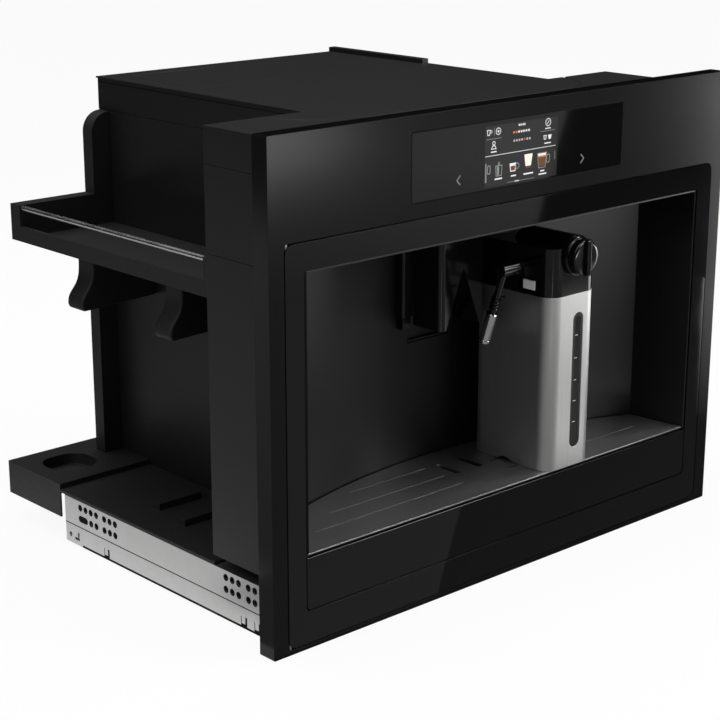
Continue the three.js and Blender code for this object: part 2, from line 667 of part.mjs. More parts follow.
// A hook is a plate with a swan-neck outer edge that ends in a round nose.
function hookPlate(y) {
  const top = shelf.bottom - gap;
  const outer = -half + hook.inset; // upper stem
  const nose = outer - hook.reach;
  const shape = new THREE.Shape();
  shape.moveTo(bayRight, top);
  shape.lineTo(outer, top);
  shape.lineTo(outer, top - hook.stem * 0.6);
  shape.bezierCurveTo(outer, hook.foot + 18, nose, hook.foot + 20, nose, hook.foot + 6);
  shape.quadraticCurveTo(nose, hook.foot, nose + 6, hook.foot);
  shape.lineTo(bayRight, hook.foot + 3);
  return prism('y', shape, y, y + hook.depth, 8);
}
for (const [name, y] of Object.entries(hookPlaces)) piece(name, hookPlate(y), blackPlastic);

// ---------------------------------------------------------------- door
function doorFrame() {
  const plate = prism('y', roundRect(-doorHalf, doorHalf, door.bottom, doorTop, door.corner), 0, door.depth);
  const opening = prism('y', roundRect(-openHalf, openHalf, openBottom, openTop,
    [tray.frontCorner, tray.frontCorner, 0, 0]), -1, door.depth + 1, 2);
  return cut(plate, opening, pinHole(upperPin), pinHole(lowerPin));
}
piece('door_frame', doorFrame(), blackGlass);

// Plan of the niche: side walls that draw in, and a back wall on a wide arc.
// grow moves the outline outwards, start is where it opens to the front.
function nichePlan(grow, start) {
  const taperPerMm = niche.taper / (niche.depth * 0.54);
  const rimHalf = linerHalf + grow;
  const backHalf = linerHalf - niche.taper + grow;
  const radius = niche.backRadius + grow;
  const centreY = niche.depth - niche.backRadius;
  const meetY = centreY + Math.sqrt(radius ** 2 - backHalf ** 2);
  const startHalf = rimHalf - taperPerMm * Math.max(start - niche.lip, 0);
  const points = [[-startHalf, start], [startHalf, start], [backHalf, meetY]];
  const sweep = Math.asin(backHalf / radius);
  const steps = 24;
  for (let i = 1; i <= steps; i += 1) {
    const angle = sweep - (2 * sweep * i) / steps;
    points.push([radius * Math.sin(angle), centreY + radius * Math.cos(angle)]);
  }
  return outlineOf(points);
}

// Height of the niche's back wall at a place, as its distance from the front.
const backAt = (x) => niche.depth - niche.backRadius + Math.sqrt(niche.backRadius ** 2 - x ** 2);

function nicheLiner() {
  const outer = prism('z', nichePlan(niche.wall, niche.lip), linerFloor, openTop - gap);
  const hollow = prism('z', nichePlan(0, niche.lip - 1), linerFloor + niche.wall, linerTop);
  const trayMouth = box(-half, half, -1, tray.frontDepth + 1 + gap, linerFloor - 1, tray.frontTop + gap);
  const slideway = box(-guide.width / 2, guide.width / 2, niche.depth - 8, niche.depth + 8, guide.bottom,
    linerTop - 6);
  const steam = rod([carafe.x, niche.depth - 30, portZ], [carafe.x, niche.depth + 10, portZ], 5.5, 16);
  return cut(outer, hollow, trayMouth, slideway, steam);
}
piece('niche_liner', nicheLiner(), glossBlack);

const outletZ = infuser.bottom + infuser.height - 8; // where the coffee leaves the brewing unit

// Channel behind the back wall that the coffee spout slides in.
function spoutGuide() {
  const back = niche.depth + niche.wall + gap;
  const flange = 8;
  const plate = box(-guide.width / 2 - flange, guide.width / 2 + flange, back, back + 2,
    guide.bottom - flange, linerTop - 2);
  const pan = box(-guide.width / 2 + gap, guide.width / 2 - gap, back - 1, back + guide.depth - 1,
    guide.bottom + gap, linerTop - 6 - gap);
  const hollow = box(-guide.width / 2 + 2.5, guide.width / 2 - 2.5, back - 3, back + guide.depth - 3,
    guide.bottom + 2.5, linerTop - 8.5);
  const outlet = rod([0, back - 2, outletZ], [0, back + guide.depth + 1, outletZ], 5, 12);
  return cut(join(plate, pan), hollow, outlet);
}
piece('spout_guide', spoutGuide(), blackPlastic);

function nicheColumn() {
  const back = backAt(column.left) - gap;
  const upper = prism('z', roundRect(column.left, column.right, back - column.depth, back, [3, 3, 0, 0]),
    column.bottom, linerTop - gap, 3);
  const step = box(column.left + 3, column.right - 2, back - column.depth + 3, back,
    column.bottom - 13, column.bottom + 0.5);
  return join(upper, step);
}
piece('niche_column', nicheColumn(), glossBlack);

// Docking plate for the carafe, bent to the back wall, with a round steam port.
function dockPanel() {
  const plan = [];
  const steps = 6;
  for (let i = 0; i <= steps; i += 1) {
    const x = dock.left + ((dock.right - dock.left) * i) / steps;
    plan.push([x, backAt(x) - gap - 0.2]);
  }
  for (let i = steps; i >= 0; i -= 1) {
    const x = dock.left + ((dock.right - dock.left) * i) / steps;
    plan.push([x, backAt(x) - dock.depth]);
  }
  const plate = prism('z', outlineOf(plan.reverse()), dock.bottom, linerTop - gap);
  const port = rod([carafe.x, carafe.front + carafe.depth + gap, portZ],
    [carafe.x, backAt(carafe.x) - 2, portZ], 11, 20);
  const pipe = rod([carafe.x, backAt(carafe.x) - 4, portZ],
    [carafe.x, niche.depth + niche.wall + guide.depth, portZ], 4.5, 12);
  const bore = rod([carafe.x, niche.depth - 30, portZ], [carafe.x, niche.depth + 30, portZ], 2.5, 10);
  return cut(join(plate, port, pipe), bore);
}
piece('dock_panel', dockPanel(), glossBlack);

// ---------------------------------------------------------------- drip tray
piece('drip_tray_front', prism('y', roundRect(-openHalf + 1, openHalf - 1, tray.frontBottom, tray.frontTop,
  [tray.frontCorner, tray.frontCorner, 0, 0]), 0, tray.frontDepth, 4), blackGlass);

const basinFront = tray.frontDepth + gap;
const basinFloor = linerFloor + niche.wall + gap;
function dripBasin() {
  const outer = prism('z', nichePlan(-tray.clearance, basinFront), basinFloor, tray.frontTop);
  const hollow = prism('z', nichePlan(-tray.clearance - tray.wall, basinFront + tray.wall),
    basinFloor + tray.wall, tray.frontTop + 1);
  return cut(outer, hollow);
}
piece('drip_tray', dripBasin(), blackPlastic);

function dripGrille() {
  const low = tray.frontTop + gap;
  const plate = prism('z', nichePlan(-tray.clearance, 2.5), low, grilleTop);
  const slots = drainRows.flatMap(({ y, inner, outer }) => [-1, 1].map((side) => {
    const [x0, x1] = side < 0 ? [-outer, -inner] : [inner, outer];
    const r = tray.slotWidth / 2;
    return prism('z', roundRect(x0, x1, y - r, y + r, r * 0.98), low - 1, grilleTop + 1, 2);
  }));
  const f = tray.fingerSlot;
  const fingers = [-1, 1].map((side) => prism('z', roundRect(side * f.x - f.width / 2,
    side * f.x + f.width / 2,
    f.y, f.y + f.length, f.width / 2 - 0.05), low - 1, grilleTop + 1, 4));
  return cut(plate, ...slots, ...fingers);
}
piece('drip_grille', dripGrille(), brushedSteel);

// ---------------------------------------------------------------- coffee spout
// Front view of the spout's cover: two legs with a V between them.
function spoutOutline() {
  const w = spout.width / 2;
  const low = spout.bottom;
  const top = low + spout.height;
  const shape = new THREE.Shape();
  const apex = spout.bottom + spout.notchHeight;
  shape.moveTo(-w, top);
  shape.lineTo(-w, low + spout.foot);
  shape.quadraticCurveTo(-w, low, -w + spout.foot, low);
  shape.lineTo(-spout.notchHalf, low);
  shape.lineTo(-spout.notchHalf * 0.1, apex - spout.notchHeight * 0.1);
  shape.quadraticCurveTo(0, apex, spout.notchHalf * 0.1, apex - spout.notchHeight * 0.1);
  shape.lineTo(spout.notchHalf, low);
  shape.lineTo(w - spout.foot, low);
  shape.quadraticCurveTo(w, low, w, low + spout.foot);
  shape.lineTo(w, top);
  return shape;
}

const nozzlePlaces = [-1, 1].map((side) =>
  [(side * spout.nozzleApart) / 2, spout.front + spout.nozzleBehind]);
const troughLow = spout.bottom + spout.notchHeight + 5;

function spoutCover() {
  const rear = spout.front + spout.depth;
  const block = prism('y', spoutOutline(), spout.front, rear, 4);
  const plan = prism('z', roundRect(-spout.width / 2, spout.width / 2, spout.front, rear,
    [spout.corner, spout.corner, 0, 0]), spout.bottom - 1, spout.bottom + spout.height + 1, 4);
  const hollow = box(-spout.width / 2 + spout.wall, spout.width / 2 - spout.wall,
    spout.front + spout.wall + 3,
    rear + 1, spout.bottom + spout.notchHeight + 4, spout.bottom + spout.height - spout.wall);
  const bores = nozzlePlaces.map(([x, y]) => rod([x, y, spout.bottom - 1], [x, y, troughLow],
    spout.nozzleRadius + gap, 12));
  return cut(block.intersect(plan), hollow, ...bores);
}
piece('spout_cover', spoutCover(), glossBlack);

// Two coffee outlets fed from one trough, and the carriage that rides in the guide.
function spoutOutlets() {
  const y = spout.front + spout.nozzleBehind;
  const z = troughLow;
  const tubes = nozzlePlaces.map(([x]) => cut(
    rod([x, y, spout.bottom + 3], [x, y, z + 8], spout.nozzleRadius, 12),
    rod([x, y, spout.bottom], [x, y, z - 1], spout.nozzleRadius - 1, 8)));
  const troughHalf = spout.width / 2 - spout.wall - gap;
  const trough = box(-troughHalf, troughHalf, y - 7, y + 12, z, z + 10);
  const back = niche.depth + niche.wall + gap;
  const neck = box(-20, 20, y + 10, back, z, z + 24);
  const shoeHalf = guide.width / 2 - 2.5 - gap;
  const shoe = box(-shoeHalf, shoeHalf, back - 0.5, back + guide.depth - 3 - gap, z - 4, z + 26);
  return join(trough, neck, shoe, ...tubes);
}
piece('spout_outlets', spoutOutlets(), greyPlastic);

// ---------------------------------------------------------------- milk carafe
const carafeBottom = grilleTop + gap;
const carafeTop = carafeBottom + carafe.height;
const carafeRear = carafe.front + carafe.depth;
const windowX = carafe.x + carafe.window.x;

function carafePlan(inset, corner = carafe.corner) {
  return roundRect(carafe.x - carafe.width / 2 + inset, carafe.x + carafe.width / 2 - inset,
    carafe.front + inset, carafeRear - inset, corner - inset);
}

function windowShape(grow) {
  const r = carafe.window.width / 2 + grow;
  return roundRect(windowX - r, windowX + r, carafeBottom + carafe.window.bottom - grow,
    carafeBottom + carafe.window.top + grow, r - 0.05);
}

function carafeSleeve() {
  const outer = prism('z', carafePlan(0), carafeBottom, carafeTop, 6);
  const hollow = prism('z', carafePlan(carafe.wall), carafeBottom + carafe.wall, carafeTop + 1, 6);
  const opening = prism('y', windowShape(0), carafe.front - 1, carafe.front + 10, 6);
  const arch = carafe.arch;
  const curve = new THREE.Shape();
  curve.moveTo(arch.y - arch.half, carafeBottom - 1);
  curve.lineTo(arch.y - arch.half, carafeBottom);
  curve.bezierCurveTo(arch.y - arch.half * 0.5, carafeBottom, arch.y - arch.half * 0.5,
    carafeBottom + arch.height, arch.y, carafeBottom + arch.height);
  curve.bezierCurveTo(arch.y + arch.half * 0.5, carafeBottom + arch.height, arch.y + arch.half * 0.5,
    carafeBottom, arch.y + arch.half, carafeBottom);
  curve.lineTo(arch.y + arch.half, carafeBottom - 1);
  const foot = prism('x', curve, carafe.x - carafe.width, carafe.x + carafe.width, 5);
  return cut(outer, hollow, opening, foot);
}
piece('carafe_sleeve', carafeSleeve(), brushedSteel);

function carafeJar() {
  const inset = carafe.wall + gap;
  const low = carafeBottom + inset;
  const outer = prism('z', carafePlan(inset), low, carafeTop - 2, 6);
  const rib = prism('y', windowShape(-gap), carafe.front + 0.4, carafe.front + inset + 1, 6);
  const hollow = prism('z', carafePlan(inset + carafe.jarWall), low + carafe.jarWall, carafeTop);
  return cut(join(outer, rib), hollow);
}
piece('carafe_jar', carafeJar(), smokedPlastic);

const lidBottom = carafeTop + gap;
const lidTop = lidBottom + lid.height;
const knobZ = lidBottom + lid.knobHeight;
const milkPivot = [carafe.x - carafe.width / 2 - milk.arm, milk.y, lidBottom + milk.drop];
const lidSide = carafe.x - carafe.width / 2;

function carafeLid() {
  const shell = prism('z', carafePlan(0), lidBottom, lidTop, 6);
  const dome = rod([carafe.x, carafe.front, knobZ], [carafe.x, lid.domeDepth, knobZ], lid.domeRadius, 32);
  const hollow = prism('z', carafePlan(lid.wall), lidBottom - 1, lidTop - 14);
  const knobShaftHole = rod([carafe.x, carafe.front - 1, knobZ], [carafe.x, carafe.front + 12, knobZ],
    4 + gap, 16);
  const intake = rod([carafe.x, 62, carafeBottom + 9], [carafe.x, 62, lidTop - 12], 3.5, 12);
  const intakeBore = rod([carafe.x, 62, carafeBottom + 8], [carafe.x, 62, lidTop - 16], 2, 10);
  const socket = rod([carafe.x, carafeRear - 10, portZ], [carafe.x, carafeRear + 1, portZ], 3, 12);
  const arm = join(
    rod([lidSide + 2, milk.y, milkPivot[2]], [lidSide - 14, milk.y, milkPivot[2]], milk.elbowRadius, 16),
    box(lidSide - 14, lidSide + 1, milk.y - 9, milk.y + 9, milkPivot[2] - 8.5, milkPivot[2] + 1));
  const trunnionHole = rod([lidSide - 15, milk.y, milkPivot[2]], [lidSide - 7, milk.y, milkPivot[2]],
    3.5 + gap, 14);
  // a closed pocket behind the button keeps milk away from it
  const pocket = (grow, x0, x1) => box(x0, x1, lidButton.y - grow, lidButton.y + lidButton.length + grow,
    lidBottom + lidButton.z - grow, lidBottom + lidButton.z + lidButton.height + grow);
  const cup = pocket(lidButton.wall + gap, lidSide + 1, lidSide + lidButton.pocket + lidButton.wall);
  const buttonHole = pocket(gap, lidSide - 1, lidSide + lidButton.pocket);
  return cut(join(cut(join(shell, dome), hollow), intake, arm, cup), knobShaftHole, intakeBore, socket,
    trunnionHole, buttonHole);
}
piece('carafe_lid', carafeLid(), glossBlack);

function frothKnob() {
  const face = carafe.front - gap;
  const tip = face - knob.depth;
  const skirt = rod([carafe.x, face, knobZ], [carafe.x, face - knob.skirt, knobZ], knob.radius, 32);
  const dome = rod([carafe.x, face - knob.skirt, knobZ], [carafe.x, tip + 2, knobZ], knob.radius - 1, 32,
    knob.radius - 4);
  const grip = prism('y', roundRect(carafe.x - knob.grip / 2, carafe.x + knob.grip / 2,
    knobZ - knob.radius + 2,
    knobZ + knob.radius - 2, 2.5), tip, face - 1, 4);
  const shaft = rod([carafe.x, face - 1, knobZ], [carafe.x, carafe.front + 11, knobZ], 4, 16);
  return join(skirt, dome, grip, shaft);
}
piece('froth_knob', frothKnob(), glossBlack);

// The milk spout turns in the lid's arm, so that the cup can be reached further forward.
const milkDirection = [0, Math.sin(milk.lean * degree), -Math.cos(milk.lean * degree)];
const alongMilk = (distance) => milkPivot.map((value, i) => value + milkDirection[i] * distance);

function milkSpout() {
  const trunnion = rod([milkPivot[0], milk.y, milkPivot[2]], [lidSide - 7 - gap, milk.y, milkPivot[2]],
    3.5, 14);
  const knuckle = rod([milkPivot[0] - 6, milk.y, milkPivot[2]], [lidSide - 14 - gap, milk.y, milkPivot[2]],
    milk.elbowRadius, 16);
  const tube = rod(alongMilk(0), alongMilk(milk.tubeLength), milk.tubeRadius, 10);
  const collars = Array.from({ length: 4 }, (_, i) =>
    rod(alongMilk(milk.tubeLength - 14 + i * 3.4), alongMilk(milk.tubeLength - 12 + i * 3.4), 4.6, 10));
  const tab = box(milkPivot[0] + 3, milkPivot[0] + 12, alongMilk(32)[1] - 1.5, alongMilk(32)[1] + 1.5,
    alongMilk(32)[2] - 2, alongMilk(32)[2] + 2);
  const core = rod(alongMilk(milk.tubeLength - 1), alongMilk(milk.tubeLength + milk.nozzleLength - 3),
    3.4, 12);
  const bore = rod(alongMilk(8), alongMilk(milk.tubeLength + milk.nozzleLength), 1.6, 6);
  return cut(join(trunnion, knuckle, tube, tab, core, ...collars), bore);
}
piece('milk_spout', milkSpout(), blackPlastic);

function milkNozzle() {
  const from = milk.tubeLength + 1.5;
  const to = milk.tubeLength + milk.nozzleLength;
  const sleeve = rod(alongMilk(from), alongMilk(to), milk.nozzleRadius, 18);
  return cut(sleeve, rod(alongMilk(from - 1), alongMilk(to + 1), 3.4 + gap, 12));
}
piece('milk_nozzle', milkNozzle(), brushedSteel);

piece('lid_button', box(lidSide - lidButton.proud, lidSide + lid.wall + 0.5, lidButton.y,
  lidButton.y + lidButton.length, lidBottom + lidButton.z,
  lidBottom + lidButton.z + lidButton.height), paleGrey);

// ---------------------------------------------------------------- beans and grinder
const hopperTop = topZ - moulded - gap;
const hopperMid = [(hopperLeft + hopperRight) / 2, (hopperFront + hopper.rear) / 2];
const hopperBottom = hopperTop - hopper.height;
const throatBottom = hopperBottom - 10;

function beanHopper() {
  const outer = prism('z', roundRect(hopperLeft, hopperRight, hopperFront, hopper.rear, 10),
    hopperBottom + 24,
    hopperTop, 2);
  const hollow = prism('z', roundRect(hopperLeft + hopper.wall, hopperRight - hopper.wall,
    hopperFront + hopper.wall, hopper.rear - hopper.wall, 8), hopperBottom + 26, hopperTop + 1, 2);
  const [x, y] = hopperMid;
  const funnel = turned([[0, throatBottom], [hopper.throat, throatBottom], [hopper.throat, hopperBottom],
    [50, hopperBottom + 24], [50, hopperBottom + 26], [0, hopperBottom + 26]], x, y, 0, 24);
  const mouth = turned([[0, throatBottom - 1], [hopper.throat - 2.4, throatBottom - 1],
    [hopper.throat - 2.4, hopperBottom], [47, hopperBottom + 24], [47, hopperBottom + 27],
    [0, hopperBottom + 27]], x, y, 0, 24);
  const knobHole = rod([hopperRight - 14, hopperFront + 14, hopperBottom + 20],
    [hopperRight - 14, hopperFront + 14, hopperBottom + 30], 3 + gap, 12);
  return cut(join(outer, funnel), hollow, mouth, knobHole);
}
piece('bean_hopper', beanHopper(), smokedPlastic);

function grindKnob() {
  const [x, y] = [hopperRight - 14, hopperFront + 14];
  const low = hopperBottom + 26 + gap;
  const dial = rod([x, y, low], [x, y, low + 20], 9, 20);
  const stem = rod([x, y, low - 8], [x, y, low + 1], 3, 12);
  const grip = box(x - 8, x + 8, y - 1.5, y + 1.5, low + 19, low + 26);
  return join(dial, stem, grip);
}
piece('grind_knob', grindKnob(), blackPlastic);

const grinderTop = throatBottom - gap;
const grinderBottom = grinderTop - grinder.height;
function grinderHousing() {
  const [x, y] = hopperMid;
  const cup = turned([[0, grinderBottom], [grinder.radius, grinderBottom], [grinder.radius, grinderTop],
    [0, grinderTop]], x, y, 0, 28);
  const cavity = turned([[0, grinderBottom + 14], [grinder.burr + 3, grinderBottom + 14],
    [grinder.burr + 3, grinderTop - 8], [22, grinderTop - 4], [22, grinderTop + 1], [0, grinderTop + 1]],
    x, y, 0, 24);
  const shaft = rod([x, y, grinderBottom - 1], [x, y, grinderBottom + 15], 5.5, 16);
  // the chute slopes down to the brewing unit; its bore is drawn a little longer to open its end
  const chuteStart = [x, y, grinderBottom + 22];
  const chuteEnd = [-infuser.width / 2 + 24, infuserFront + infuser.depth + 8, grinderBottom + 8];
  const chutePast = chuteEnd.map((v, i) => v + (v - chuteStart[i]) * 0.1);
  return cut(join(cup, rod(chuteStart, chuteEnd, 12, 12)), cavity, shaft, rod(chuteStart, chutePast, 8, 12));
}
piece('grinder_housing', grinderHousing(), greyPlastic);

const burrLow = grinderBottom + 16;
function burr() {
  const [x, y] = hopperMid;
  const cone = turned([[0, burrLow], [grinder.burr, burrLow], [grinder.burr, burrLow + 6], [12, burrLow + 28],
    [5, burrLow + 34], [0, burrLow + 34]], x, y, 0, 24);
  const teeth = Array.from({ length: 6 }, (_, i) => {
    const angle = (i / 6) * Math.PI * 2;
    const at = (r, z, turn) => [x + r * Math.cos(angle + turn), y + r * Math.sin(angle + turn), z];
    return rod(at(grinder.burr - 1, burrLow + 5, 0), at(12, burrLow + 29, 0.7), 1.8, 4);
  });
  const stem = rod([x, y, grinderBottom - 6], [x, y, burrLow + 1], 5, 16);
  return cut(join(cone, stem), ...teeth);
}
piece('grinder_burr', burr(), ceramic);

function grinderMotor() {
  const [x, y] = hopperMid;
  const top = grinderBottom - 8;
  const can = rod([x, y, top - grinder.motorHeight], [x, y, top], grinder.motorRadius, 28);
  const boss = rod([x, y, top - grinder.motorHeight - 8], [x, y, top - grinder.motorHeight + 1], 9, 16);
  const flange = box(x - 38, x + 38, y - 12, y + 12, top - 4, top);
  const ears = [-33, 33].map((dx) => rod([x + dx, y, top - 1], [x + dx, y, grinderBottom - gap], 4, 12));
  return join(can, boss, flange, ...ears);
}
piece('grinder_motor', grinderMotor(), castAlloy);

// ---------------------------------------------------------------- brewing
const infuserTop = infuser.bottom + infuser.height;
const brewY = infuserFront + 46;
function infuserFrame() {
  const w = infuser.width / 2;
  const rear = infuserFront + infuser.depth;
  const frame = box(-w, w, infuserFront, rear, infuser.bottom, infuserTop);
  const inside = box(-w + infuser.wall, w - infuser.wall, infuserFront - 1, rear - infuser.wall,
    infuser.bottom + infuser.wall, infuserTop - 34);
  const grounded = rod([-20, rear - 22, infuserTop - 35], [-20, rear - 22, infuserTop + 1], 13, 16);
  const piston = rod([0, brewY, infuserTop - 58], [0, brewY, infuserTop - 33], chamber.piston, 24);
  const nose = rod([0, bulkheadY - 1, outletZ], [0, infuserFront + 1, outletZ], 6.5, 16);
  const guides = [-1, 1].map((side) => rod([side * guideBars.x, brewY, infuser.bottom + 2],
    [side * guideBars.x, brewY, infuserTop - 30], guideBars.radius, 12));
  return join(cut(frame, inside, grounded), piston, nose, ...guides);
}
piece('infuser_frame', infuserFrame(), greyPlastic);

const chamberLow = infuser.bottom + infuser.wall + 12;
function brewChamber() {
  const rim = chamberLow + chamber.height - 4;
  const bore = chamber.piston + 1;
  const cup = turned([[0, chamberLow], [chamber.radius, chamberLow], [chamber.radius, rim],
    [chamber.radius - 2, rim], [bore, rim - 4], [bore, chamberLow + 8],
    [0, chamberLow + 8]], 0, brewY, 0, 28);
  const yoke = cut(box(-49, 49, brewY - 8, brewY + 8, chamberLow + 20, chamberLow + 34),
    rod([0, brewY, chamberLow + 10], [0, brewY, chamberLow + 60], chamber.radius - 2, 28));
  const bores = [-1, 1].map((side) => rod([side * guideBars.x, brewY, chamberLow + 10],
    [side * guideBars.x, brewY, chamberLow + 50], guideBars.radius + gap, 12));
  return cut(join(cup, yoke), ...bores);
}
piece('brew_chamber', brewChamber(), blackPlastic);

function infuserMotor() {
  const rear = infuserFront + infuser.depth + gap;
  const gearbox = box(14, 50, rear, rear + 22, infuser.bottom + 10, infuser.bottom + 70);
  const can = rod([32, rear + 21, infuser.bottom + 30], [32, rear + 64, infuser.bottom + 30], 15, 24);
  return join(gearbox, can);
}
piece('infuser_motor', infuserMotor(), castAlloy);

function groundsContainer() {
  const w = grounds.width / 2;
  const rear = groundsFront + grounds.depth;
  const top = grounds.bottom + grounds.height;
  const outer = box(-w, w, groundsFront, rear, grounds.bottom, top);
  const hollow = box(-w + grounds.wall, w - grounds.wall, groundsFront + grounds.wall,
    rear - grounds.wall, grounds.bottom + grounds.wall, top + 1);
  const feet = [-1, 1].map((side) => box(side * 50 - 6, side * 50 + 6, groundsFront + 6,
    rear - 6, base.ledge + gap, grounds.bottom + 1));
  return join(cut(outer, hollow), ...feet);
}
piece('grounds_container', groundsContainer(), blackPlastic);

// ---------------------------------------------------------------- water and heat
function vibrationPump() {
  const { x, z, radius, length, stub } = pump;
  const y = pumpY;
  const coil = rod([x, y + 26, z], [x, y + length - 26, z], radius, 24);
  const ends = rod([x, y, z], [x, y + length, z], 9, 16);
  const ports = [rod([x, y - 10, z], [x, y + 1, z], stub, 12), rod([x, y + length - 1, z],
    [x, y + length + 12, z], stub, 12)];
  const feet = [y + 36, y + length - 36].map((at) =>
    box(x - 12, x + 12, at - 5, at + 5, base.ledge + gap, z));
  return join(coil, ends, ...ports, ...feet);
}
piece('pump', vibrationPump(), castAlloy);

const heaterX = insideRight - gap - heater.width;
const hoseX = heaterX + 30; // the heater's stubs and the hose share this place
function flowHeater() {
  const block = box(heaterX, heaterX + heater.width, heaterFront, heaterFront + heater.depth, heater.bottom,
    heater.bottom + heater.height);
  const fins = Array.from({ length: 7 }, (_, i) => box(heaterX - 1, heaterX + 10, heaterFront + 8 + i * 14,
    heaterFront + 15 + i * 14, heater.bottom + 8, heater.bottom + heater.height - 8));
  const rear = heaterFront + heater.depth;
  const stubs = [heater.bottom + 20, heater.bottom + heater.height - 20].map((z) =>
    rod([hoseX, rear - 1, z], [hoseX, rear + 10, z], 4, 12));
  return join(cut(block, ...fins), ...stubs);
}
piece('flow_heater', flowHeater(), castAlloy);

function steamBoiler() {
  const x = insideRight - boiler.radius - gap * 2;
  const r = boiler.radius;
  const b = boiler.bottom;
  const pot = turned([[0, b], [r - 8, b], [r, b + 8], [r, b + boiler.height - 8], [r - 8, b + boiler.height],
    [0, b + boiler.height]], x, boiler.y, 0, 28);
  const flange = box(x - 20, insideRight - gap, boiler.y - 18, boiler.y + 18, b + 40, b + 46);
  const stub = rod([x, boiler.y, b + boiler.height - 1], [x, boiler.y, b + boiler.height + 10], 4, 12);
  return join(pot, flange, stub);
}
piece('steam_boiler', steamBoiler(), brushedSteel);

// The pressure hose from the pump up to the heater.
piece('pump_hose', hose([
  [pump.x, pumpY - 10 - gap, pump.z], [pump.x, pumpY - 18, pump.z], [pump.x, pumpY - 24, pump.z + 10],
  [pump.x, pumpY - 20, pump.z + 50], [hoseX, heaterFront + 44, heater.bottom - 40],
  [hoseX, heaterFront + 52, heater.bottom - 14], [hoseX, heaterFront + 52, heater.bottom - gap],
], 3, 18, 4), siliconeHose);

// ---------------------------------------------------------------- electrics
function powerBoard() {
  const x = insideLeft + 8;
  const y0 = boardFront;
  const z0 = board.bottom;
  const card = box(x, x + board.thickness, y0, y0 + board.depth, z0, z0 + board.height);
  const posts = [y0 + 6, y0 + board.depth - 6].flatMap((y) => [z0 + 6, z0 + board.height - 6].map((z) =>
    rod([insideLeft + gap, y, z], [x + 0.5, y, z], 3, 10)));
  const relays = [0, 1, 2].map((i) =>
    box(x + 1, x + 17, y0 + 14 + i * 26, y0 + 34 + i * 26, z0 + 16, z0 + 44));
  const coils = box(x + 1, x + 22, y0 + 20, y0 + 56, z0 + 70, z0 + 104);
  const cans = [80, 100].map((y) => rod([x + 1, y0 + y, z0 + 100], [x + 24, y0 + y, z0 + 100], 8, 14));
  return join(card, coils, ...posts, ...relays, ...cans);
}
piece('power_board', powerBoard(), circuitGreen);

const fanRear = body.rear - moulded - gap;
function fanHousing() {
  const s = fan.size / 2;
  const start = fanRear - fan.depth;
  const frame = prism('y', roundRect(fan.x - s, fan.x + s, fan.z - s, fan.z + s, 5), start, fanRear, 3);
  const bore = rod([fan.x, start - 1, fan.z], [fan.x, fanRear + 1, fan.z], fan.rotor + 2, 28);
  const level = box(fan.x - s + 1, fan.x + s - 1, start, start + 2, fan.z - 2, fan.z + 2);
  const upright = box(fan.x - 2, fan.x + 2, start, start + 2, fan.z - s + 1, fan.z + s - 1);
  const seat = rod([fan.x, start, fan.z], [fan.x, start + 3, fan.z], 10, 20);
  return join(cut(frame, bore), seat, level, upright);
}
piece('fan_housing', fanHousing(), blackPlastic);

function fanRotor() {
  const from = fanRear - fan.depth + 3 + gap;
  const to = fanRear - 1;
  const hub = rod([fan.x, from, fan.z], [fan.x, to, fan.z], fan.hub, 20);
  const blade = (i) => {
    const angle = (i / 7) * Math.PI * 2;
    const geometry = new THREE.BoxGeometry(fan.rotor - fan.hub + 1, 1.4, 12);
    geometry.rotateX(0.9).translate((fan.rotor + fan.hub) / 2 - 0.5, 0, 0).rotateY(angle);
    return solidOf(geometry.translate(fan.x, (from + to) / 2, fan.z));
  };
  return join(hub, ...Array.from({ length: 7 }, (_, i) => blade(i)));
}
piece('fan_rotor', fanRotor(), blackPlastic);

function mainsInlet() {
  const rear = body.rear;
  const [x0, x1] = [inlet.x - inlet.width / 2, inlet.x + inlet.width / 2];
  const block = box(x0, x1, rear - inlet.depth, rear + 0.5, inlet.z, inlet.z + inlet.height);
  const rim = box(x0 - 4, x1 + 4, rear + gap, rear + 2, inlet.z - 4, inlet.z + inlet.height + 4);
  const socket = box(x0 + 8, x1 - 8, rear - 14, rear + 3, inlet.z + 5, inlet.z + inlet.height - 5);
  const pins = [-7, 0, 7].map((dx) => box(inlet.x + dx - 1, inlet.x + dx + 1, rear - 15, rear - 2,
    inlet.z + 12, inlet.z + 16));
  return join(cut(join(block, rim), socket), ...pins);
}
piece('mains_inlet', mainsInlet(), blackPlastic);

// The rocker turns on an axis along x, just inside the rear wall.
const rockerZ = inlet.z + rocker.height / 2;
function mainSwitch() {
  const y = body.rear - 4;
  const profile = [[-6, -7], [1.5, -8.5], [2.5, 0], [5, 8.5], [-6, 7]];
  const outline = outlineOf(profile.map(([dy, dz]) => [y + dy, rockerZ + dz]));
  return prism('x', outline, rocker.x - rocker.width / 2 + gap, rocker.x + rocker.width / 2 - gap);
}
piece('main_switch', mainSwitch(), glossBlack);

// ---------------------------------------------------------------- water tank in the right bay
const tankLeft = bodyRight + 8;
const tankRight = tankLeft + tank.width;
const tankBottom = base.ledge + gap;
const tankTop = tankBottom + tank.height;
const tankRear = tankFront + tank.depth;

function waterTank() {
  const outer = prism('z', roundRect(tankLeft, tankRight, tankFront, tankRear, 12), tankBottom, tankTop, 5);
  const hollow = prism('z', roundRect(tankLeft + tank.wall, tankRight - tank.wall, tankFront + tank.wall,
    tankRear - tank.wall, 10), tankBottom + tank.wall, tankTop + 1, 5);
  const valve = rod([tankLeft + 24, tankFront + 30, tankBottom - 1],
    [tankLeft + 24, tankFront + 30, tankBottom + 4], 6, 16);
  return cut(outer, hollow, valve);
}
piece('water_tank', waterTank(), clearPlastic);

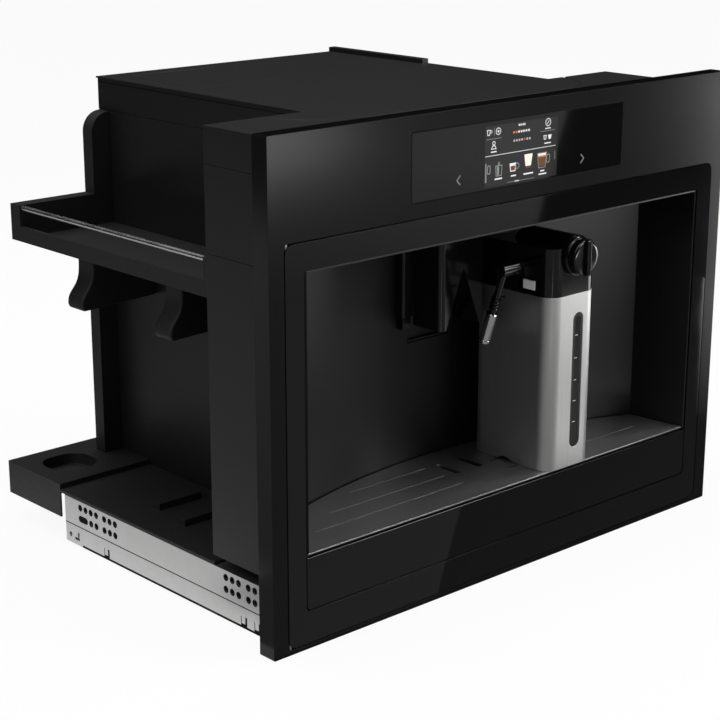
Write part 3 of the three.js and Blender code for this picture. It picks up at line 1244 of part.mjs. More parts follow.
function tankLid() {
  const low = tankTop + gap;
  const plate = prism('z', roundRect(tankLeft, tankRight, tankFront, tankRear, 12), low, low + 3, 5);
  const rim = prism('z', roundRect(tankLeft + 4, tankRight - 4, tankFront + 4, tankRear - 4, 9),
    low - 6, low + 1, 2);
  const hollow = prism('z', roundRect(tankLeft + 6, tankRight - 6, tankFront + 6, tankRear - 6, 7),
    low - 7, low - 0.5, 2);
  const middle = (tankLeft + tankRight) / 2;
  const finger = box(middle - 16, middle + 16, tankFront + 14, tankFront + 20, low + 2,
    low + tank.lidHeight);
  return join(cut(join(plate, rim), hollow), finger);
}
piece('tank_lid', tankLid(), blackPlastic);

export default machine;
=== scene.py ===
# Looks of a built-in coffee machine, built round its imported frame.
# Everything is in metres, in the frame's own axes: x to the right, y into the cabinet, z up.
import json
import math

import bmesh
import bpy
from mathutils import Matrix, Vector


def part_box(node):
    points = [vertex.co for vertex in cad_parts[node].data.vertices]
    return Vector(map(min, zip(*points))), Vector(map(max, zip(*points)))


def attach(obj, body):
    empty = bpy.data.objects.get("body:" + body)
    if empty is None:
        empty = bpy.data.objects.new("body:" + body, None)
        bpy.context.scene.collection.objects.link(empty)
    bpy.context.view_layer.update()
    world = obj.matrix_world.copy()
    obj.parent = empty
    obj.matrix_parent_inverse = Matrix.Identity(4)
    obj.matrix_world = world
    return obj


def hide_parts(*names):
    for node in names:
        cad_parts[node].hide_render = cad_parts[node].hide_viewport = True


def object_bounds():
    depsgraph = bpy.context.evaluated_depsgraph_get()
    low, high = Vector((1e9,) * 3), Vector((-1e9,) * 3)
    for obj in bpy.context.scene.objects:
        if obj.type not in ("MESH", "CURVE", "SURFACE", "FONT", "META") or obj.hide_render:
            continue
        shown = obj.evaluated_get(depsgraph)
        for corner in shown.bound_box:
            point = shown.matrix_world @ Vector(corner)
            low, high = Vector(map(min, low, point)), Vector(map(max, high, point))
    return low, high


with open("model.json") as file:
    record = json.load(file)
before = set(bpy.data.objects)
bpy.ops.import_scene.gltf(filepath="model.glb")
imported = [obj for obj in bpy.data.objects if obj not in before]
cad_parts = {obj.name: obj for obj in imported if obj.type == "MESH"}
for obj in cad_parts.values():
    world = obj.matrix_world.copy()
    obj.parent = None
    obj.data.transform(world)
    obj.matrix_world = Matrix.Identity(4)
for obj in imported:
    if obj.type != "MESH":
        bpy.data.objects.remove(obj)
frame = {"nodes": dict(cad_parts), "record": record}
cadLow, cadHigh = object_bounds()
scene = bpy.context.scene
mm = 0.001
record = frame["record"]
bodyOf = {node: body for body, nodes in record["behaviour"]["bodies"].items() for node in nodes}
slotOf = {part["node"]: part["material_slot"] for part in record["subparts"]}


# The photograph looks down on the machine's left front corner through a long lens.
viewpoint = {"place": (-1.19387, -1.11382, 0.68452), "heading": 42.275, "pitch": 16.452,
             "lens": 90.04, "sensor": 36, "seesTo": 60}


def setCamera():
    camera = bpy.data.objects.new("camera", bpy.data.cameras.new("camera"))
    camera.data.lens = viewpoint["lens"]
    camera.data.sensor_width = viewpoint["sensor"]
    camera.location = viewpoint["place"]
    camera.rotation_euler = (
        math.radians(90 - viewpoint["pitch"]), 0, -math.radians(viewpoint["heading"]))
    camera.data.clip_end = viewpoint["seesTo"]
    scene.collection.objects.link(camera)
    scene.camera = camera
    scene.view_settings.view_transform = "Standard"


def linear(hexColour):
    channels = [int(hexColour[i:i + 2], 16) / 255 for i in (1, 3, 5)]
    return [c / 12.92 if c <= 0.04045 else ((c + 0.055) / 1.055) ** 2.4 for c in channels] + [1]


# Adds one node: settings are its own properties or its input sockets, links name the sockets fed.
def addNode(tree, kind, settings=None, links=None):
    node = tree.nodes.new("ShaderNode" + kind)
    for name, value in (settings or {}).items():
        if isinstance(name, str) and hasattr(node, name):
            setattr(node, name, value)
        else:
            node.inputs[name].default_value = value
    for name, output in (links or {}).items():
        tree.links.new(output, node.inputs[name])
    return node


def emptyTree(owner):
    owner.use_nodes = True
    owner.node_tree.nodes.clear()
    return owner.node_tree


# Each finish: its colour and the second colour that it drifts to over patches, its range of
# roughness, and the size and depth of its grain in millimetres. stretch draws the grain out.
finishes = {
    # powder-coated steel sheet: a satin skin with faint orange peel
    "powderCoat": {"colours": ("#0d0d0e", "#111112"), "patch": 60, "roughness": (0.14, 0.17),
                   "grain": 1.6, "relief": 0.004, "specular": 0.16},
    # float glass painted black behind: mirror-smooth over a flat black
    "backPaintedGlass": {"colours": ("#050506", "#070708"), "patch": 90, "roughness": (0.03, 0.05),
                         "grain": 40, "relief": 0.002, "specular": 0.5},
    # ABS moulded in a finely etched tool: an even satin
    "etchedPlastic": {"colours": ("#0e0e0f", "#121213"), "patch": 50, "roughness": (0.40, 0.48),
                      "grain": 1.1, "relief": 0.02, "specular": 0.34},
    # glass-filled nylon, moulded rough: duller and a little greyer
    "coarsePlastic": {"colours": ("#121213", "#171718"), "patch": 40, "roughness": (0.50, 0.62),
                      "grain": 1.3, "relief": 0.035, "specular": 0.34},
    # polished ABS: deep gloss with a hint of flow marks
    "polishedPlastic": {"colours": ("#060607", "#080809"), "patch": 70, "roughness": (0.10, 0.14),
                        "grain": 22, "relief": 0.006, "specular": 0.45},
    # the niche's moulded lining: between gloss and satin
    "liningPlastic": {"colours": ("#09090a", "#0b0b0c"), "patch": 70, "roughness": (0.30, 0.36),
                      "grain": 1.8, "relief": 0.012, "specular": 0.42},
    # stainless sheet brushed along its length: fine lines that draw highlights out
    "brushedSteel": {"colours": ("#d6d6d5", "#cbcbca"), "patch": 1.2, "roughness": (0.32, 0.40),
                     "grain": 0.5, "relief": 0.006, "metallic": 1, "stretch": (1, 1, 0.02),
                     "anisotropic": 0.8},
    # stainless plate ground along its length: the lines run across the niche
    "groundSteel": {"colours": ("#c0c0c1", "#b2b2b4"), "patch": 1.6, "roughness": (0.36, 0.46),
                    "grain": 0.6, "relief": 0.004, "metallic": 1, "stretch": (0.02, 1, 1)},
    # stainless tube turned and polished: tight bright streaks along it
    "turnedSteel": {"colours": ("#e2e2e1", "#d6d6d6"), "patch": 8, "roughness": (0.14, 0.2),
                    "grain": 0.6, "relief": 0.002, "metallic": 1},
    # painted shade, dead black: laid as a thin sheet where a gap, seam or hole shows as a shadow
    # line
    "sealRubber": {"colours": ("#020202", "#040404"), "patch": 20, "roughness": (0.7, 0.8),
                   "grain": 1.5, "relief": 0.01, "specular": 0.1},
    # zinc-plated sheet: bright and even, with a faint cloudy spangle
    "zincPlate": {"colours": ("#c2c2c2", "#b8b8b7"), "patch": 14, "roughness": (0.34, 0.42),
                  "grain": 2.5, "relief": 0.003, "metallic": 1},
    # chrome over drawn steel rod: satin, so that it gathers the light into a long soft streak
    "chromePlate": {"colours": ("#e6e6e7", "#dcdcde"), "patch": 30, "roughness": (0.24, 0.30),
                    "grain": 20, "relief": 0.002, "metallic": 1},
    # clear SAN plastic with a cool tint
    "clearPlastic": {"colours": ("#dde6ea", "#d6e1e6"), "patch": 60, "roughness": (0.05, 0.08),
                     "grain": 25, "relief": 0.004, "transmission": 0.97, "ior": 1.57},
    # grey-tinted SAN plastic
    "smokedPlastic": {"colours": ("#101112", "#141516"), "patch": 60, "roughness": (0.12, 0.16),
                      "grain": 25, "relief": 0.004, "transmission": 0.12, "specular": 0.06},
    # pressure die-cast aluminium, as cast
    "castAluminium": {"colours": ("#8d8f91", "#7c7e80"), "patch": 6, "roughness": (0.45, 0.6),
                      "grain": 1.2, "relief": 0.03, "metallic": 1},
    # grey acetal of the working parts
    "greyAcetal": {"colours": ("#595b5e", "#626467"), "patch": 30, "roughness": (0.48, 0.58),
                   "grain": 1.2, "relief": 0.02, "specular": 0.4},
    # lacquered glass-fibre board: green with a woven ground
    "lacqueredBoard": {"colours": ("#1f5a3a", "#246545"), "patch": 2, "roughness": (0.3, 0.42),
                       "grain": 1.0, "relief": 0.02, "specular": 0.5},
    # sintered alumina
    "sinteredCeramic": {"colours": ("#e6e2d8", "#dcd7cb"), "patch": 8, "roughness": (0.4, 0.5),
                        "grain": 0.9, "relief": 0.02, "specular": 0.5},
    # pale grey ABS button
    "paleAbs": {"colours": ("#d2d3d4", "#cbccce"), "patch": 12, "roughness": (0.3, 0.38),
                "grain": 1.2, "relief": 0.008, "specular": 0.5},
    # food-grade silicone hose: milky, soft sheen
    "siliconeRubber": {"colours": ("#d8d8d4", "#cfcfca"), "patch": 14, "roughness": (0.45, 0.55),
                       "grain": 2, "relief": 0.01, "specular": 0.5},
    # front glass of the controls, smoke grey over the black behind it
    "displayGlass": {"colours": ("#1c1d1f", "#1f2022"), "patch": 40, "roughness": (0.08, 0.1),
                     "grain": 30, "relief": 0.001, "specular": 0.35},
    # the lit display behind its glass: the dim ground, then the colours of what it shows
    "litGround": {"colours": ("#0b0b0c", "#0d0d0e"), "patch": 40, "roughness": (0.06, 0.08),
                  "grain": 30, "relief": 0.001, "glow": ("#f2f2ee", 0.016)},
    "litWhite": {"colours": ("#202020", "#242424"), "patch": 2, "roughness": (0.1, 0.14),
                 "grain": 2, "relief": 0.001, "glow": ("#ffffff", 0.85)},
    "litGrey": {"colours": ("#202020", "#242424"), "patch": 2, "roughness": (0.1, 0.14),
                "grain": 2, "relief": 0.001, "glow": ("#c8cdc6", 0.42)},
    "litAmber": {"colours": ("#202020", "#242424"), "patch": 2, "roughness": (0.1, 0.14),
                 "grain": 2, "relief": 0.001, "glow": ("#f08a3c", 0.8)},
    "litCream": {"colours": ("#202020", "#242424"), "patch": 2, "roughness": (0.1, 0.14),
                 "grain": 2, "relief": 0.001, "glow": ("#fff6e6", 1.0)},
    "litBrown": {"colours": ("#202020", "#242424"), "patch": 2, "roughness": (0.1, 0.14),
                 "grain": 2, "relief": 0.001, "glow": ("#8a4e30", 0.55)},
}
slotFinish = {
    "satin_black": "powderCoat", "satin_plastic": "etchedPlastic",
    "black_glass": "backPaintedGlass", "screen_glass": "displayGlass",
    "black_plastic": "coarsePlastic", "gloss_black": "polishedPlastic",
    "brushed_steel": "brushedSteel", "zinc_steel": "zincPlate", "chromed_steel": "chromePlate",
    "clear_plastic": "clearPlastic", "smoked_plastic": "smokedPlastic",
    "cast_alloy": "castAluminium", "grey_plastic": "greyAcetal",
    "circuit_board": "lacqueredBoard", "ceramic": "sinteredCeramic", "pale_grey": "paleAbs",
    "silicone": "siliconeRubber",
}


# How fine the noise of grain and patches is, and the part of it that the roughness runs over.
noise = {"grainDetail": 3, "patchDetail": 2, "from": 0.3, "to": 0.7}


def makeFinish(name, look):
    material = bpy.data.materials.new(name)
    tree = emptyTree(material)
    place = addNode(tree, "TexCoord").outputs["Object"]
    drawn = addNode(tree, "Mapping", {"Scale": look.get("stretch", (1, 1, 1))}, {"Vector": place})
    grain = addNode(tree, "TexNoise", {
        "Scale": 1 / (look["grain"] * mm), "Detail": noise["grainDetail"]},
        {"Vector": drawn.outputs[0]})
    patch = addNode(tree, "TexNoise", {
        "Scale": 1 / (look["patch"] * mm), "Detail": noise["patchDetail"]},
        {"Vector": drawn.outputs[0]})
    first, second = look["colours"]
    colour = addNode(tree, "Mix", {"data_type": "RGBA", 6: linear(first), 7: linear(second)},
                     {0: patch.outputs[0]})
    low, high = look["roughness"]
    rough = addNode(tree, "MapRange", {
        "From Min": noise["from"], "From Max": noise["to"], "To Min": low, "To Max": high},
        {"Value": grain.outputs[0]})
    bump = addNode(tree, "Bump", {"Strength": 1, "Distance": look["relief"] * mm},
                   {"Height": grain.outputs[0]})
    own = {"Metallic": look.get("metallic", 0), "Specular IOR Level": look.get("specular", 0.5),
           "Transmission Weight": look.get("transmission", 0), "IOR": look.get("ior", 1.5),
           "Anisotropic": look.get("anisotropic", 0)}
    if "glow" in look:
        shine, strength = look["glow"]
        own.update({"Emission Color": linear(shine), "Emission Strength": strength})
    fed = {"Base Color": colour.outputs[2], "Roughness": rough.outputs[0],
           "Normal": bump.outputs[0]}
    if "anisotropic" in look:
        roundAxis = addNode(tree, "Tangent", {"direction_type": "RADIAL", "axis": "Z"})
        fed["Tangent"] = roundAxis.outputs[0]
    shader = addNode(tree, "BsdfPrincipled", own, fed)
    addNode(tree, "OutputMaterial", {}, {"Surface": shader.outputs[0]})
    return material


materials = {name: makeFinish(name, look) for name, look in finishes.items()}
print("finishes made:", len(materials))


# A pale floor, which the camera sees nearly white so that it meets the background, a soft white
# sky and the lamps. A lamp named in shineOnly lights nothing, it is only mirrored.
studio = {
    "floor": {"size": 14, "colour": "#f4f4f4", "cameraWhite": 0.92, "below": 0.5},
    "skyFill": 0.45,
    "lamps": [
        # name, place, aim, width, height, power
        ("keySoftbox", (1.5, -2.1, 1.25), (0.0, 0.0, 0.25), 1.2, 1.0, 34),
        ("topSoftbox", (-0.4, 0.3, 2.2), (0.0, 0.15, 0.2), 1.8, 1.4, 21),
        ("leftStrip", (-2.2, 0.2, 1.5), (-0.2, 0.1, 0.25), 0.7, 1.6, 12),
        ("edgeSoftbox", (1.3, -0.6, 1.7), (0.0, 0.0, 0.15), 0.5, 0.5, 5),
        ("lipSoftbox", (1.9, -0.85, 2.2), (0.0, 0.0, 0.1), 0.9, 0.9, 18),
    ],
    "shineOnly": ("lipSoftbox",),
}


def sheetAt(name, corners, material):
    mesh = bmesh.new()
    mesh.faces.new([mesh.verts.new(corner) for corner in corners])
    data = bpy.data.meshes.new(name)
    mesh.to_mesh(data)
    mesh.free()
    sheet = bpy.data.objects.new(name, data)
    sheet.data.materials.append(material)
    scene.collection.objects.link(sheet)
    return sheet


def seenPlainly(tree):
    path = addNode(tree, "LightPath")
    seen = addNode(tree, "Math", {"operation": "MAXIMUM"},
                   {0: path.outputs["Is Camera Ray"], 1: path.outputs["Is Glossy Ray"]})
    return addNode(tree, "Math", {"operation": "MAXIMUM"},
                   {0: seen.outputs[0], 1: path.outputs["Is Transmission Ray"]})


def setStudio():
    world = bpy.data.worlds.new("studio")
    scene.world = world
    tree = emptyTree(world)
    fill = addNode(tree, "Background", {"Color": (1, 1, 1, 1), "Strength": studio["skyFill"]})
    white = addNode(tree, "Background", {"Color": (1, 1, 1, 1), "Strength": 1})
    sky = addNode(tree, "MixShader", {}, {0: seenPlainly(tree).outputs[0], 1: fill.outputs[0],
                                          2: white.outputs[0]})
    addNode(tree, "OutputWorld", {}, {"Surface": sky.outputs[0]})

    floorLook = studio["floor"]
    paper = bpy.data.materials.new("paperFloor")
    tree = emptyTree(paper)
    lit = addNode(tree, "BsdfDiffuse", {"Color": linear(floorLook["colour"])})
    glow = addNode(tree, "Emission", {"Color": (1, 1, 1, 1), "Strength": 1})
    share = addNode(tree, "Math", {"operation": "MULTIPLY", 1: floorLook["cameraWhite"]},
                    {0: seenPlainly(tree).outputs[0]})
    both = addNode(tree, "MixShader", {}, {0: share.outputs[0], 1: lit.outputs[0],
                                           2: glow.outputs[0]})
    addNode(tree, "OutputMaterial", {}, {"Surface": both.outputs[0]})
    reach = floorLook["size"] / 2
    low = cadLow.z - floorLook["below"] * mm
    sheetAt("floor", [(-reach, -reach, low), (reach, -reach, low), (reach, reach, low),
                      (-reach, reach, low)], paper)

    for name, place, aim, width, height, power in studio["lamps"]:
        lamp = bpy.data.objects.new(name, bpy.data.lights.new(name, "AREA"))
        lamp.data.shape = "RECTANGLE"
        lamp.data.size = width
        lamp.data.size_y = height
        lamp.data.energy = power
        lamp.location = place
        lamp.rotation_euler = (Vector(aim) - Vector(place)).to_track_quat("-Z", "Y").to_euler()
        lamp.visible_diffuse = name not in studio["shineOnly"]
        scene.collection.objects.link(lamp)


# A black ring on the floor and a black tent, which only reflections see, keep the blacks deep.
flags = {"island": (-0.315, -0.02, 0.43, 0.62), "reach": 6, "cardStep": 0.1, "tentHalf": 4.6,
         "tentTops": (5.0, 6.0, 4.6, 3.4)}  # front, right, back and left wall

# Grey cards lying on the ring, seen by reflections alone, a later one above an earlier one: its
# corners, the line along which its glow runs, and the strength at the line's two ends.
cards = {
    "frontGrey": {"corners": [(-0.10, -0.022), (2.60, -2.22), (2.60, -3.4), (-2.6, -3.4),
                              (-2.6, -0.022)],
                  "line": [(0.55, -1.0), (1.45, -1.7)], "glow": (0.24, 0.54)},
    "frontDusk": {"corners": [(-0.10, -0.022), (2.60, -2.22), (4.4, -2.22), (4.4, -0.022)],
                  "line": [(0.3, -1.2), (0.3, -0.04)], "glow": (0.04, 0.11)},
    "leftGlow": {"corners": [(0.3, -1.78), (1.2, -1.78), (1.66, -2.06), (2.1, -3.4), (0.3, -3.4)],
                 "line": [(0.4, -1.8), (1.2, -1.8)], "glow": (8.5, 8.5)},
    "rightGlow": {"corners": [(0.515, -0.193), (0.605, -0.26), (0.819, -0.419), (1.09, -0.62),
                              (1.56, 0.0), (0.62, -0.12)],
                  "line": [(0.47, -0.16), (1.075, -0.61)], "glow": (0.0, 4.1)},
    "farGlow": {"corners": [(1.11, -0.62), (1.49, -0.885), (2.02, -1.246), (2.54, -1.62),
                            (3.02, -2.02), (4.3, -2.6), (4.4, 0.0), (1.56, 0.0)],
                "line": [(1.09, -0.62), (2.97, -2.0)], "glow": (3.8, 9.5)},
    "cornerGlow": {"corners": [(-0.314, -0.609), (-0.564, -0.983), (-0.614, -0.949),
                               (-0.364, -0.575)],
                   "line": [(-0.3, -0.6), (-0.6, -1.0)], "glow": (2.6, 2.6)},
    "sideGrey": {"corners": [(-0.315, -0.07), (-0.315, 1.6), (-1.5, 1.6), (-1.5, -0.07)],
                 "line": [(-0.4, 0.0), (-1.2, 0.0)], "glow": (0.28, 0.62)},
    "railGlow": {"corners": [(-0.315, 0.13), (-0.315, 0.52), (-0.42, 0.52), (-0.42, 0.13)],
                 "line": [(-0.3, 0.13), (-0.3, 0.52)], "glow": (0.85, 0.85)},
    "sleeveGlow": {"corners": [(0.16, -0.19), (0.40, -0.19), (1.04, -0.70), (0.70, -0.70)],
                   "line": [(0.2, -0.19), (0.8, -0.70)], "glow": (1.45, 1.1)},
}


def glowFinish(name, card):
    material = bpy.data.materials.new(name)
    tree = emptyTree(material)
    place = addNode(tree, "TexCoord").outputs["Object"]
    start, end = (Vector((x, y, 0)) for x, y in card["line"])
    along = (end - start).normalized()
    run = addNode(tree, "VectorMath", {"operation": "DOT_PRODUCT", 1: along}, {0: place})
    first, last = card["glow"]
    strength = addNode(tree, "MapRange", {
        "From Min": start.dot(along), "From Max": end.dot(along), "To Min": first, "To Max": last},
        {"Value": run.outputs["Value"]})
    glow = addNode(tree, "Emission", {"Color": (1, 1, 1, 1)}, {"Strength": strength.outputs[0]})
    addNode(tree, "OutputMaterial", {}, {"Surface": glow.outputs[0]})
    return material


def setFlags():
    black = bpy.data.materials.new("blackVelvet")
    tree = emptyTree(black)
    cloth = addNode(tree, "BsdfDiffuse", {"Color": (0, 0, 0, 1)})
    addNode(tree, "OutputMaterial", {}, {"Surface": cloth.outputs[0]})
    low = cadLow.z
    x0, y0, x1, y1 = flags["island"]
    reach = flags["reach"]
    tent = flags["tentHalf"]
    # four strips on the floor leave a pale island round the machine
    strips = [(-reach, -reach, x0, reach), (x1, -reach, reach, reach), (x0, -reach, x1, y0),
              (x0, y1, x1, reach)]
    pieces = [sheetAt(f"floorFlag{i}", [(a, b, low), (c, b, low), (c, d, low), (a, d, low)], black)
              for i, (a, b, c, d) in enumerate(strips)]
    corners = [(-tent, -tent), (tent, -tent), (tent, tent), (-tent, tent)]
    for i, (x0, y0) in enumerate(corners):
        x1, y1 = corners[(i + 1) % 4]
        top = flags["tentTops"][i]
        wall = [(x0, y0, low), (x1, y1, low), (x1, y1, top), (x0, y0, top)]
        pieces.append(sheetAt(f"wallFlag{i}", wall, black))
    for level, (name, card) in enumerate(cards.items(), start=1):
        z = low + flags["cardStep"] * mm * level
        corners = [(x, y, z) for x, y in card["corners"]]
        pieces.append(sheetAt(name, corners, glowFinish(name, card)))
    for piece in pieces:
        piece.visible_camera = False
        piece.visible_diffuse = False
        piece.visible_shadow = False
        piece.visible_transmission = False


setCamera()
setStudio()
setFlags()
print("studio set")


def camel(node):
    first, *rest = node.split("_")
    return first + "".join(word.capitalize() for word in rest)


# How edges are handled: angles in degrees, distances in mm. roundShort is how far a strip's round
# ends stay short of half its width.
edging = {"smoothBelow": 35, "sharpAbove": 28, "flatBelow": 0.3, "segments": 2, "weld": 0.01,
          "spunWeld": 0.001, "roundShort": 0.05}


# Puts a finished bmesh in the scene as a piece that rides with a node, in the finish given.
def addExtra(name, mesh, finish, node):
    bmesh.ops.recalc_face_normals(mesh, faces=mesh.faces)
    data = bpy.data.meshes.new(name)
    mesh.to_mesh(data)
    mesh.free()
    data.shade_smooth()
    data.set_sharp_from_angle(angle=math.radians(edging["smoothBelow"]))
    piece = bpy.data.objects.new(name, data)
    piece.data.materials.append(materials[finish])
    scene.collection.objects.link(piece)
    weigh = piece.modifiers.new("flatFaces", "WEIGHTED_NORMAL")
    weigh.keep_sharp = True
    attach(piece, bodyOf[node])
    return piece


# The same for a piece that stands for one or more of the frame's nodes.
def addPiece(name, mesh, finish, nodes):
    piece = addExtra(name, mesh, finish, nodes[0])
    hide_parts(*nodes)
    return piece


# A node's own shape with its edges eased, as the real moulding's or folding's are.
def eased(node, radius):
    mesh = bmesh.new()
    mesh.from_mesh(frame["nodes"][node].data)
    bmesh.ops.remove_doubles(mesh, verts=mesh.verts, dist=edging["weld"] * mm)
    bmesh.ops.dissolve_limit(mesh, angle_limit=math.radians(edging["flatBelow"]), verts=mesh.verts,
                             edges=mesh.edges)
    sharp = math.radians(edging["sharpAbove"])
    edges = [edge for edge in mesh.edges if edge.is_manifold and edge.calc_face_angle() > sharp]
    if radius:
        bmesh.ops.bevel(mesh, geom=edges, offset=radius * mm, offset_type="OFFSET",
                        segments=edging["segments"], profile=0.5, affect="EDGES",
                        clamp_overlap=True, material=-1)
    return mesh


# Turns a profile round an axis: its points are (distance from the axis, distance along it) in mm.
def spun(mesh, profile, start, axis, steps):
    along = Vector(axis).normalized()
    out = along.orthogonal().normalized()
    verts = [mesh.verts.new(start + out * (r * mm) + along * (d * mm)) for r, d in profile]
    edges = [mesh.edges.new(pair) for pair in zip(verts, verts[1:])]
    bmesh.ops.spin(mesh, geom=verts + edges, cent=start, axis=along, angle=math.tau, steps=steps,
                   use_merge=True)
    bmesh.ops.remove_doubles(mesh, verts=mesh.verts, dist=edging["spunWeld"] * mm)


# A block between two corners in mm, its edges rounded.
def block(mesh, low, high, ease, segments=edging["segments"]):
    middle = (Vector(low) + Vector(high)) / 2 * mm
    size = (Vector(high) - Vector(low)) * mm
    cube = bmesh.ops.create_cube(
        mesh, size=1, matrix=Matrix.Translation(middle) @ Matrix.Diagonal((*size, 1)))
    edges = list({edge for vert in cube["verts"] for edge in vert.link_edges})
    bmesh.ops.bevel(mesh, geom=edges, offset=ease * mm, offset_type="OFFSET", segments=segments,
                    profile=0.5, affect="EDGES", clamp_overlap=True, material=-1)


# Gives flat faces a thickness towards the front, so that each is a closed slab.
def thicken(mesh, faces, depth):
    made = bmesh.ops.extrude_face_region(mesh, geom=faces)["geom"]
    bmesh.ops.translate(mesh, vec=(0, -depth * mm, 0),
                        verts=[v for v in made if isinstance(v, bmesh.types.BMVert)])


# A flat shape facing the front, from points in mm; a rim leaves only an outline that wide.
def plate(mesh, points, y, depth, corner=0, rim=0, steps=3):
    verts = [mesh.verts.new((x * mm, y * mm, z * mm)) for x, z in points]
    face = mesh.faces.new(verts)
    mesh.normal_update()
    if corner:
        rounded = bmesh.ops.bevel(mesh, geom=verts, offset=corner * mm, offset_type="OFFSET",
                                  segments=steps, profile=0.5, affect="VERTICES", material=-1)
        touched = {f for v in rounded["verts"] for f in v.link_faces}
        face = max(touched, key=lambda f: f.calc_area())
    faces = [face]
    if rim:
        faces = bmesh.ops.inset_region(mesh, faces=[face], thickness=rim * mm,
                                       use_even_offset=True, use_boundary=True)["faces"]
        bmesh.ops.delete(mesh, geom=[face], context="FACES_ONLY")
    thicken(mesh, faces, depth)


# The outlines that plate takes: points in mm round a circle, or along both sides of a line.
def circle(x, z, radius, steps=20):
    turns = [math.tau * i / steps for i in range(steps)]
    return [(x + radius * math.cos(turn), z + radius * math.sin(turn)) for turn in turns]


def stroke(start, end, width):
    run = Vector(end) - Vector(start)
    side = Vector((-run.y, run.x)).normalized() * (width / 2)
    return [tuple(Vector(p) + side * s) for p, s in ((start, 1), (end, 1), (end, -1), (start, -1))]


